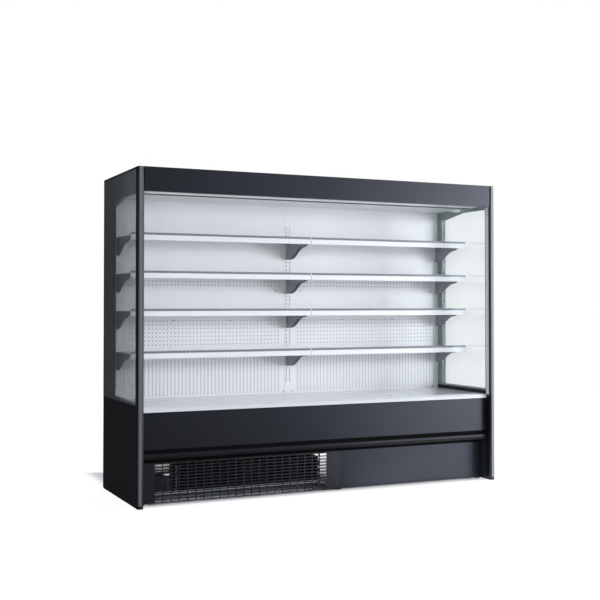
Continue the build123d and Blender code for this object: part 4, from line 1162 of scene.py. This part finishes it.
tray_low, tray_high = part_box("machine_tray")
frame_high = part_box("base_frame")[1]
opening_edges = (tray_low.x, tray_high.x, tray_high.z, frame_high.z - GUARD_DROP)
mesh_y = frame_high.y + STRAND_RADIUS
dress(expanded_metal(*opening_edges, mesh_y), grille_coat)
dress(guard_frame(*opening_edges, mesh_y), grille_coat)
print("rear guard", round((tray_high.x - tray_low.x) / MM), "mm wide")


# %% [markdown]
# ## Pipes in the machine compartment
# Copper pipes join the compressor, the condenser and the coil in the tank. They are bent with a former, so
# every corner is a smooth bend of one size, smaller only where a leg is short. A route is written as its
# first point and then only what changes at each corner, the way a pipe fitter would call it out.
# %% Routes and bends
BEND_ARC_STEPS = 5
LEG_SHARE = 0.45  # the most of a leg that one bend may take up


def route(start, *moves):
    """The corners of a pipe: the first point, and the coordinates that each leg changes."""
    place = dict(zip("xyz", start))
    corners = [start]
    for move in moves:
        place.update(move)
        corners.append((place["x"], place["y"], place["z"]))
    return corners


def bent(points, radius):
    """The points of a route with every corner replaced by a curve."""
    corners = [Vector(point) for point in points]
    out = [corners[0]]
    for before, corner, after in zip(corners, corners[1:], corners[2:]):
        into = before - corner
        away = after - corner
        wanted = radius / math.tan(into.angle(away) / 2)
        cut = min(wanted, LEG_SHARE * into.length, LEG_SHARE * away.length)
        for step in range(BEND_ARC_STEPS + 1):
            share = step / BEND_ARC_STEPS
            first = corner + into.normalized() * cut * (1 - share)
            second = corner + away.normalized() * cut * share
            out.append(first * (1 - share) + second * share)
    out.append(corners[-1])
    return [tuple(point) for point in out], False


print("bends in", BEND_ARC_STEPS, "steps")


# %% [markdown]
# The discharge pipe rises from the compressor and runs forward to the top of the condenser. The liquid pipe
# leaves at the condenser's foot and goes back and up into the tank. Both are thin; the suction pipe that
# comes back from the tank is thicker and wears a black rubber sleeve.
# %% Three pipes
THIN_PIPE_RADIUS = 3.5 * MM
SLEEVE_RADIUS = 8 * MM
THIN_BEND = 22 * MM
SLEEVE_BEND = 26 * MM
SHELL_MIDDLE = 82 * MM  # from the compressor's rear
RUN_Z = 238 * MM
INLET_Y = -180 * MM
OUTLET_Y = -205 * MM
shell_low, shell_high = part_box("compressor")
shell_x = (shell_low.x + shell_high.x) / 2
shell_y = shell_high.y - SHELL_MIDDLE
coil_end_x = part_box("condenser")[1].x
liquid_x = coil_end_x + 45 * MM
suction_x = shell_x - 130 * MM
discharge = bent(route(
    (shell_x + 60 * MM, shell_y - 40 * MM, 150 * MM),
    {"x": shell_x + 120 * MM, "y": shell_y - 60 * MM},
    {"z": RUN_Z},
    {"x": coil_end_x + 30 * MM, "y": INLET_Y + 60 * MM},
    {"y": INLET_Y},
    {"z": 205 * MM},
    {"x": coil_end_x},
), THIN_BEND)
liquid = bent(route(
    (coil_end_x, OUTLET_Y, 66 * MM),
    {"x": liquid_x},
    {"y": 60 * MM},
    {"z": 210 * MM},
    {"y": 110 * MM},
    {"z": tank_low.z},
), THIN_BEND)
suction = bent(route(
    (shell_x - 70 * MM, shell_y + 20 * MM, 175 * MM),
    {"x": suction_x},
    {"z": 240 * MM},
    {"y": shell_y - 60 * MM},
    {"z": tank_low.z},
), SLEEVE_BEND)
dress(make_tubes("high_pressure_pipes", [discharge, liquid], THIN_PIPE_RADIUS), copper)
dress(make_tubes("suction_pipe", [suction], SLEEVE_RADIUS, 12), rubber)
print("pipes:", len(discharge[0]) + len(liquid[0]) + len(suction[0]), "points")


# %% [markdown]
# ## Screws and rivets
# A turned shape is a profile swung around an axis: a screw's head, a rivet, a tube with pins. All heads of
# one kind go into one mesh, and each spot is a place and the way that its axis points.
# %% Turned shapes
def turned(name, profile, spots, sides=12):
    """One profile of (radius, height) pairs, turned around the axis of every spot, as one mesh."""
    corners = []
    faces = []
    for place, axis in spots:
        turn = Vector(axis).to_track_quat("Z", "Y").to_matrix()
        first = len(corners)
        for radius, height in profile:
            for side in range(sides):
                angle = 2 * math.pi * side / sides
                local = Vector((radius * math.cos(angle), radius * math.sin(angle), height))
                corners.append(tuple(Vector(place) + turn @ local))
        for ring in range(len(profile) - 1):
            for side in range(sides):
                after = (side + 1) % sides
                a, b = first + ring * sides, first + (ring + 1) * sides
                faces.append((a + side, a + after, b + after, b + side))
        last = first + (len(profile) - 1) * sides
        faces.append(tuple(first + side for side in reversed(range(sides))))
        faces.append(tuple(last + side for side in range(sides)))
    piece = make_mesh(name, corners, faces)
    for polygon in piece.data.polygons:
        polygon.use_smooth = len(polygon.vertices) == 4
    return piece


print("turned shapes ready")


# %% [markdown]
# The inner panels are held by a few pan-head screws: a washer flange, a low dome and a round recess on top.
# %% Panel screws
FRONT = (0, -1, 0)
SCREW_SIZE = 5 * MM
SCREW_SPOTS = ((95, 700), (1147, 700), (418, 502), (824, 502), (33, 12), (1170, 12))  # across and up, in mm


def pan_head(size):
    """Profile of a screw head, as (radius, height) pairs."""
    return [
        (size, 0), (size, 0.12 * size), (0.78 * size, 0.2 * size), (0.72 * size, 0.42 * size),
        (0.5 * size, 0.58 * size), (0.24 * size, 0.6 * size), (0.2 * size, 0.4 * size),
    ]


panel_screws = [
    ((side * x * MM, panel_front_y, deck_top + height * MM), FRONT)
    for side in (-1, 1) for x, height in SCREW_SPOTS
]
heads = turned("panel_screws", pan_head(SCREW_SIZE), panel_screws)
dress(heads, screw_metal)
print(heads.name, len(panel_screws))


# %% [markdown]
# ## Seams of the outer skin
# The insulated back and roof are sheet skins around foam. Cover strips hide the joints: one near each end,
# and two that part the width in three. Their edges are broken a little, so that they show as lines of
# light.
# %% Cover strips
STRIP_WIDE = 46 * MM
STRIP_THICK = 1.2 * MM
ROOF_STRIP_INSET = 8 * MM
half_strip = STRIP_WIDE / 2
wall_low, wall_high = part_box("back_wall")
roof_low, roof_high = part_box("roof_panel")
strip_rear_y = wall_high.y + STRIP_THICK
strip_top_z = roof_high.z + STRIP_THICK
strip_xs = [wall_low.x + half_strip, wall_low.x / 3, wall_high.x / 3, wall_high.x - half_strip]
wall_strips = [
    ((x - half_strip, wall_high.y, wall_low.z), (x + half_strip, strip_rear_y, roof_high.z))
    for x in strip_xs
]
roof_strip_y = roof_low.y + ROOF_STRIP_INSET
roof_strips = [
    ((x - half_strip, roof_strip_y, roof_high.z), (x + half_strip, roof_high.y, strip_top_z))
    for x in strip_xs
]
cover_strips = round_edges(make_boxes("cover_strips", wall_strips + roof_strips), 0.5 * MM)
dress(cover_strips, outer_coat)
print(len(wall_strips) + len(roof_strips), "cover strips")


# %% [markdown]
# Blind rivets hold the strips at even steps. A rivet's head is a low dome with the dimple left by its pin.
# %% Rivets
BACK = (0, 1, 0)
UP = (0, 0, 1)
RIVET_STEP = 160 * MM
WALL_RIVETS = 11
ROOF_RIVETS = 5
RIVET_HEAD = [(3.2, 0), (2.9, 0.6), (1.8, 1.1), (0.9, 1.2), (0.8, 0.7)]  # radius and height, in mm
first_wall_z = wall_low.z + 40 * MM
first_roof_y = roof_low.y + 60 * MM
rivets = []
for x in strip_xs:
    for number in range(WALL_RIVETS):
        rivets.append(((x, strip_rear_y, first_wall_z + number * RIVET_STEP), BACK))
    for number in range(ROOF_RIVETS):
        rivets.append(((x, first_roof_y + number * RIVET_STEP, strip_top_z), UP))
rivet_profile = [(radius * MM, height * MM) for radius, height in RIVET_HEAD]
dress(turned("blind_rivets", rivet_profile, rivets, 10), screw_metal)
print(len(rivets), "rivets")


# %% [markdown]
# ## Lamp ends
# Every lamp is an opal diffuser closed by a white cap at each end.
# %% Lamp caps
CAP_LONG = 14 * MM
CAP_PROUD = 0.6 * MM
HALF_GAP = 3 * MM
lamp_low, lamp_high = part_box("lamps")
cap_spans = []
for x0, x1 in ((lamp_low.x, -HALF_GAP), (HALF_GAP, lamp_high.x)):
    cap_spans += [(x0, x0 + CAP_LONG), (x1 - CAP_LONG, x1)]
caps = make_boxes("lamp_caps", [
    ((x0, lamp_low.y - CAP_PROUD, lamp_low.z - CAP_PROUD), (x1, lamp_high.y + CAP_PROUD, lamp_high.z))
    for x0, x1 in cap_spans
])
dress(round_edges(caps, 6 * MM, 4), switch_abs)
print(len(cap_spans), "lamp caps")


# %% [markdown]
# ## Night blinds
# Each blind is one length of cloth, wound on a tube behind the fascia, with its free end in a pull bar. The
# cloth is modelled as that one length: a spiral of a dozen turns, then straight down into the bar.
# %% The cloth's line
CLOTH_THICK = 0.45 * MM
CLOTH_LONG = 1341 * MM
TURN_STEPS = 28
DROP_ROWS = 24
ROLL_RADIUS = 20 * MM
roller_low, roller_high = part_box("blind_roller_left")
axis_y = (roller_low.y + roller_high.y) / 2
axis_z = (roller_low.z + roller_high.z) / 2


def wound_length(turns):
    """Length of the spiral for that many turns inwards from its outside."""
    return 2 * math.pi * turns * (ROLL_RADIUS - CLOTH_THICK * turns / 2)


def cloth_line(drop):
    """Points (y, z) along the cloth, from the core out along the spiral and down to the bar."""
    wound = CLOTH_LONG - drop
    turns = (ROLL_RADIUS - math.sqrt(ROLL_RADIUS ** 2 - CLOTH_THICK * wound / math.pi)) / CLOTH_THICK
    count = int(turns * TURN_STEPS)
    points = []
    for step in range(count, -1, -1):
        turned_by = turns * step / count
        radius = ROLL_RADIUS - CLOTH_THICK * turned_by
        angle = 2 * math.pi * turned_by
        points.append((axis_y + radius * math.cos(angle), axis_z + radius * math.sin(angle)))
    for row in range(1, DROP_ROWS + 1):
        points.append((axis_y + ROLL_RADIUS, axis_z - drop * row / DROP_ROWS))
    print("wound length", round(wound_length(turns), 3), "m in", round(turns, 1), "turns")
    return points


print("axis at", round(axis_y / MM, 1), round(axis_z / MM, 1), "mm")


def blind_cloth_sheet(side):
    """The whole cloth of one blind as a single skin, wound on the roll and hanging down to the pull bar."""
    low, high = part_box(f"blind_sheet_{side}")
    drop = high.z - low.z
    line = cloth_line(drop)
    corners = [(x, y, z) for y, z in line for x in (low.x, high.x)]
    faces = [(2 * row, 2 * row + 1, 2 * row + 3, 2 * row + 2) for row in range(len(line) - 1)]
    sheet = shade_smooth(make_mesh(f"blind_cloth_{side}", corners, faces))
    paint(sheet, blind_cloth)
    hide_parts(f"blind_sheet_{side}")
    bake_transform(sheet)
    return sheet


# %% [markdown]
# The tube in the roll's middle has a plug and a pin at each end. All of it is one turned profile, and it
# turns with its own body. With that, both blinds can be made.
# %% Roller tubes and both blinds
TUBE_RADIUS = 14 * MM
PIN_RADIUS = 5 * MM


def roller_tube(side):
    """The tube of one blind, from pin to pin."""
    low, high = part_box(f"blind_roller_{side}")
    length = high.x - low.x
    end = 4 * MM
    edge = 1 * MM
    profile = [
        (PIN_RADIUS - edge, 0), (PIN_RADIUS, edge), (PIN_RADIUS, end), (TUBE_RADIUS - edge, end),
        (TUBE_RADIUS, end + edge), (TUBE_RADIUS, length - end - edge), (TUBE_RADIUS - edge, length - end),
        (PIN_RADIUS, length - end), (PIN_RADIUS, length - edge), (PIN_RADIUS - edge, length),
    ]
    spot = ((low.x, axis_y, axis_z), (1, 0, 0))
    tube = turned(f"roller_tube_{side}", profile, [spot], 32)
    dress(tube, bar_metal, f"blind_roller_{side}")
    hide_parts(f"blind_roller_{side}")
    return tube


for side in ("left", "right"):
    cloth = blind_cloth_sheet(side)
    tube = roller_tube(side)
    print(cloth.name, "on", tube.name)


# %% [markdown]
# ## The studio
# The cabinet was shot against pure white, in a studio that is dark on its left: the black panels turn from
# near black at their left end to grey at their right, because they mirror a large soft box out to the
# right. So the world is plain white only where the camera looks at it or through glass. For everything else
# it is a dim room, brighter towards the right and overhead.
# %% Rays and room
ROOM_COLOUR = "#e6eaf7"
ROOM_DARK = 0.08
ROOM_RIGHT = 2.5
ROOM_TOP = 0.3
RIGHT_WAY = Vector((0.86, -0.48, 0.15)).normalized()
RIGHT_START = 0.75


def seen_directly(tree):
    """1 on rays that left the camera and have only passed through glass since, and 0 on the rest."""
    path = add_node(tree, "ShaderNodeLightPath")
    turned_back = add_node(
        tree, "ShaderNodeMath", links={0: path.outputs["Glossy Depth"], 1: path.outputs["Diffuse Depth"]},
        operation="ADD",
    )
    straight = add_node(tree, "ShaderNodeMath", {1: 0.5}, {0: turned_back.outputs[0]}, operation="LESS_THAN")
    through = add_node(
        tree, "ShaderNodeMath", links={0: straight.outputs[0], 1: path.outputs["Is Transmission Ray"]},
        operation="MULTIPLY",
    )
    return add_node(
        tree, "ShaderNodeMath", links={0: path.outputs["Is Camera Ray"], 1: through.outputs[0]},
        operation="MAXIMUM",
    ).outputs[0]


def glow_from(tree, direction, way, start, strength):
    """A smooth patch of brightness around one direction of the room."""
    along = add_node(tree, "ShaderNodeVectorMath", {1: way}, {0: direction}, operation="DOT_PRODUCT")
    patch = add_node(
        tree, "ShaderNodeMapRange", {"From Min": start, "From Max": 1.0, "To Min": 0.0, "To Max": strength},
        {"Value": along.outputs["Value"]}, interpolation_type="SMOOTHSTEP",
    )
    return patch.outputs["Result"]


def room_level(tree, direction, right_strength):
    """How bright the room is that way: dim, and brighter to the right."""
    right = glow_from(tree, direction, RIGHT_WAY, RIGHT_START, right_strength)
    return add_node(tree, "ShaderNodeMath", {1: ROOM_DARK}, {0: right}, operation="ADD").outputs[0]


print("room", ROOM_DARK, "in the dark and", ROOM_DARK + ROOM_RIGHT, "to the right")


# %% [markdown]
# The world's shader is a mix of two backgrounds, picked by what kind of ray asks.
# %% The world
def studio_world():
    """White to the eye, and a graded room for all other light."""
    world = bpy.data.worlds.new("studio_room")
    bpy.context.scene.world = world
    world.use_nodes = True
    tree = world.node_tree
    tree.nodes.clear()
    direction = add_node(tree, "ShaderNodeTexCoord").outputs["Generated"]
    top = glow_from(tree, direction, (0, 0, 1), 0.0, ROOM_TOP)
    around = room_level(tree, direction, ROOM_RIGHT)
    level = add_node(tree, "ShaderNodeMath", links={0: around, 1: top}, operation="ADD")
    room = add_node(
        tree, "ShaderNodeBackground", {"Color": linear(ROOM_COLOUR)}, {"Strength": level.outputs[0]}
    )
    white = add_node(tree, "ShaderNodeBackground", {"Color": linear("#ffffff"), "Strength": 1.0})
    mix = add_node(
        tree, "ShaderNodeMixShader",
        links={0: seen_directly(tree), 1: room.outputs["Background"], 2: white.outputs["Background"]},
    )
    add_node(tree, "ShaderNodeOutputWorld", links={"Surface": mix.outputs[0]})
    return world


print("world:", studio_world().name)


# %% [markdown]
# The floor is a very large pale sheet. To the eye it gives off most of the white that it is missing, so it
# runs into the background, and a faint shadow still shows beside the cabinet. Under and right behind the
# cabinet a painted shadow turns that glow off, so there it stays dark. So the first thing needed is where
# the cabinet stands.
# %% Where the cabinet stands
SHADE_EDGE = 60 * MM


def outside_painted_shadow(tree, low, high):
    """0 under the cabinet and 1 outside it, across a soft edge; it outlines a painted shadow."""
    split = add_node(tree, "ShaderNodeSeparateXYZ", links={"Vector": place_of(tree)})
    nearness = []
    for axis, middle, half in (("X", (low.x + high.x) / 2, (high.x - low.x) / 2),
                               ("Y", (low.y + high.y) / 2, (high.y - low.y) / 2)):
        away = add_node(tree, "ShaderNodeMath", {1: middle}, {0: split.outputs[axis]}, operation="SUBTRACT")
        size = add_node(tree, "ShaderNodeMath", links={0: away.outputs[0]}, operation="ABSOLUTE")
        ramp = add_node(
            tree, "ShaderNodeMapRange", {"From Min": half - 2 * SHADE_EDGE, "From Max": half},
            {"Value": size.outputs[0]}, interpolation_type="SMOOTHSTEP",
        )
        nearness.append(ramp.outputs["Result"])
    return add_node(
        tree, "ShaderNodeMath", links={0: nearness[0], 1: nearness[1]}, operation="MAXIMUM"
    ).outputs[0]


print("floor shade has a soft edge of", round(SHADE_EDGE / MM), "mm")


# %% [markdown]
# In mirrors the floor is as dim as the room around it, because a bright horizon line in the panes would give
# it away; under and right behind the cabinet the painted shadow makes it dark in mirrors too. It sends no
# more light onto the cabinet than a pale floor does.
# %% The floor
FLOOR_SIZE = 40.0
FLOOR_GLOW = 0.85
FLOOR_WHITE = 1.12
FLOOR_RIGHT = 2.6
SHADE_BEHIND = 700 * MM


def studio_floor():
    """A plain floor under the feet that reads as white, keeps the shadow, and has a painted shadow under and
    behind the cabinet.
    """
    half = FLOOR_SIZE / 2
    corners = [(-half, -half, 0), (half, -half, 0), (half, half, 0), (-half, half, 0)]
    floor = make_mesh("studio_floor", corners, [(0, 1, 2, 3)])
    material, tree, shader = new_finish("plain_white_floor", "#fafafa", 0.9, Specular_IOR_Level=0.0)
    white = add_node(tree, "ShaderNodeEmission", {"Color": linear("#ffffff"), "Strength": FLOOR_WHITE})
    # Painted shadow: a box under the cabinet and reaching behind it, where the floor doesn't glow.
    beyond_painted_shadow = outside_painted_shadow(tree, solid_box[0], solid_box[1] + Vector((0, SHADE_BEHIND, 0)))
    seen = add_node(tree, "ShaderNodeMath", {1: FLOOR_GLOW}, {0: seen_directly(tree)}, operation="MULTIPLY")
    share = add_node(tree, "ShaderNodeMath", links={0: seen.outputs[0], 1: beyond_painted_shadow}, operation="MULTIPLY")
    to_eye = add_node(
        tree, "ShaderNodeMixShader",
        links={0: share.outputs[0], 1: shader.outputs["BSDF"], 2: white.outputs["Emission"]},
    )
    way = add_node(tree, "ShaderNodeVectorMath", links={0: place_of(tree)}, operation="NORMALIZE")
    level = room_level(tree, way.outputs["Vector"], FLOOR_RIGHT)
    # The painted shadow also darkens the floor in mirrors.
    dim = add_node(tree, "ShaderNodeMath", links={0: level, 1: beyond_painted_shadow}, operation="MULTIPLY")
    mirrored = add_node(
        tree, "ShaderNodeEmission", {"Color": linear(ROOM_COLOUR)}, {"Strength": dim.outputs[0]}
    )
    path = add_node(tree, "ShaderNodeLightPath")
    in_mirror = add_node(
        tree, "ShaderNodeMath", links={0: path.outputs["Is Glossy Ray"], 1: seen_directly(tree)},
        operation="SUBTRACT", use_clamp=True,
    )
    mix = add_node(
        tree, "ShaderNodeMixShader",
        links={0: in_mirror.outputs[0], 1: to_eye.outputs[0], 2: mirrored.outputs["Emission"]},
    )
    tree.links.new(mix.outputs[0], tree.nodes["Material Output"].inputs["Surface"])
    floor.data.materials.append(material)
    return floor


print("floor:", studio_floor().name)


# %% [markdown]
# Five soft boxes do the work of the photographer's lamps: a large one far to the right, which the satin
# black sheet mirrors; two in front, which light the shelves; one overhead; and one behind, for the white
# back. The ones in front and behind are kept out of the mirrors, and don't show through glass either.
# %% Lamps
def soft_box(name, place, aim, size, power, colour="#ffffff", in_mirrors=True):
    """A soft box at a place, turned to a point."""
    light = bpy.data.lights.new(name, "AREA")
    light.shape = "RECTANGLE"
    light.size, light.size_y = size
    light.energy = power
    light.color = linear(colour)[:3]
    lamp = bpy.data.objects.new(name, light)
    bpy.context.scene.collection.objects.link(lamp)
    lamp.location = place
    lamp.visible_glossy = in_mirrors
    lamp.visible_transmission = in_mirrors
    lamp.rotation_euler = (Vector(aim) - Vector(place)).to_track_quat("-Z", "Y").to_euler()
    return lamp


soft_box(
    "soft_box_right", place=(6.2, -5.4, 1.7), aim=(0, 0, 1.1), size=(2.6, 3.0), power=340, colour="#f1f4fa"
)
soft_box(
    "soft_box_left", place=(-4.0, -6.2, 1.6), aim=(0, 0, 1.3), size=(1.8, 0.9), power=42, in_mirrors=False
)
soft_box(
    "soft_box_front", place=(2.0, -6.0, 2.2), aim=(0.4, 0, 1.2), size=(0.8, 0.8), power=84, in_mirrors=False
)
soft_box(
    "soft_box_back", place=(1.5, 6.5, 2.6), aim=(0, 0, 1.0), size=(2.0, 2.0), power=260, in_mirrors=False
)
soft_box("soft_box_top", place=(0.5, -1.5, 5.2), aim=(0, 0, 0.8), size=(4.0, 3.0), power=40)


# %% [markdown]
# ## The camera
# The place, the lens and the two angles come from solving the photograph's eight visible corners of the
# cabinet. The picture is square, so the sensor width gives both fields of view. The horizon sits a little
# off the middle, which is a small vertical shift of the lens.
# %% Camera
PICTURE = 600
FOCAL_PIXELS = 1040.2
MIDDLE_ROW = 284.2
SENSOR = 36.0
CAMERA_PLACE = (-2.9433, -6.2801, 1.1888)
CAMERA_YAW = math.radians(-24.911)
CAMERA_TILT = math.radians(90 + 1.139)

camera_data = bpy.data.cameras.new("camera")
camera_data.sensor_width = SENSOR
camera_data.lens = FOCAL_PIXELS / PICTURE * SENSOR
camera_data.shift_y = (MIDDLE_ROW - PICTURE / 2) / PICTURE
camera_data.clip_end = 100
camera = bpy.data.objects.new("camera", camera_data)
bpy.context.scene.collection.objects.link(camera)
camera.location = CAMERA_PLACE
camera.rotation_euler = (CAMERA_TILT, 0, CAMERA_YAW)
bpy.context.scene.camera = camera
bpy.context.scene.view_settings.view_transform = "Standard"
print("lens", round(camera_data.lens, 2), "mm, shift", round(camera_data.shift_y, 4))
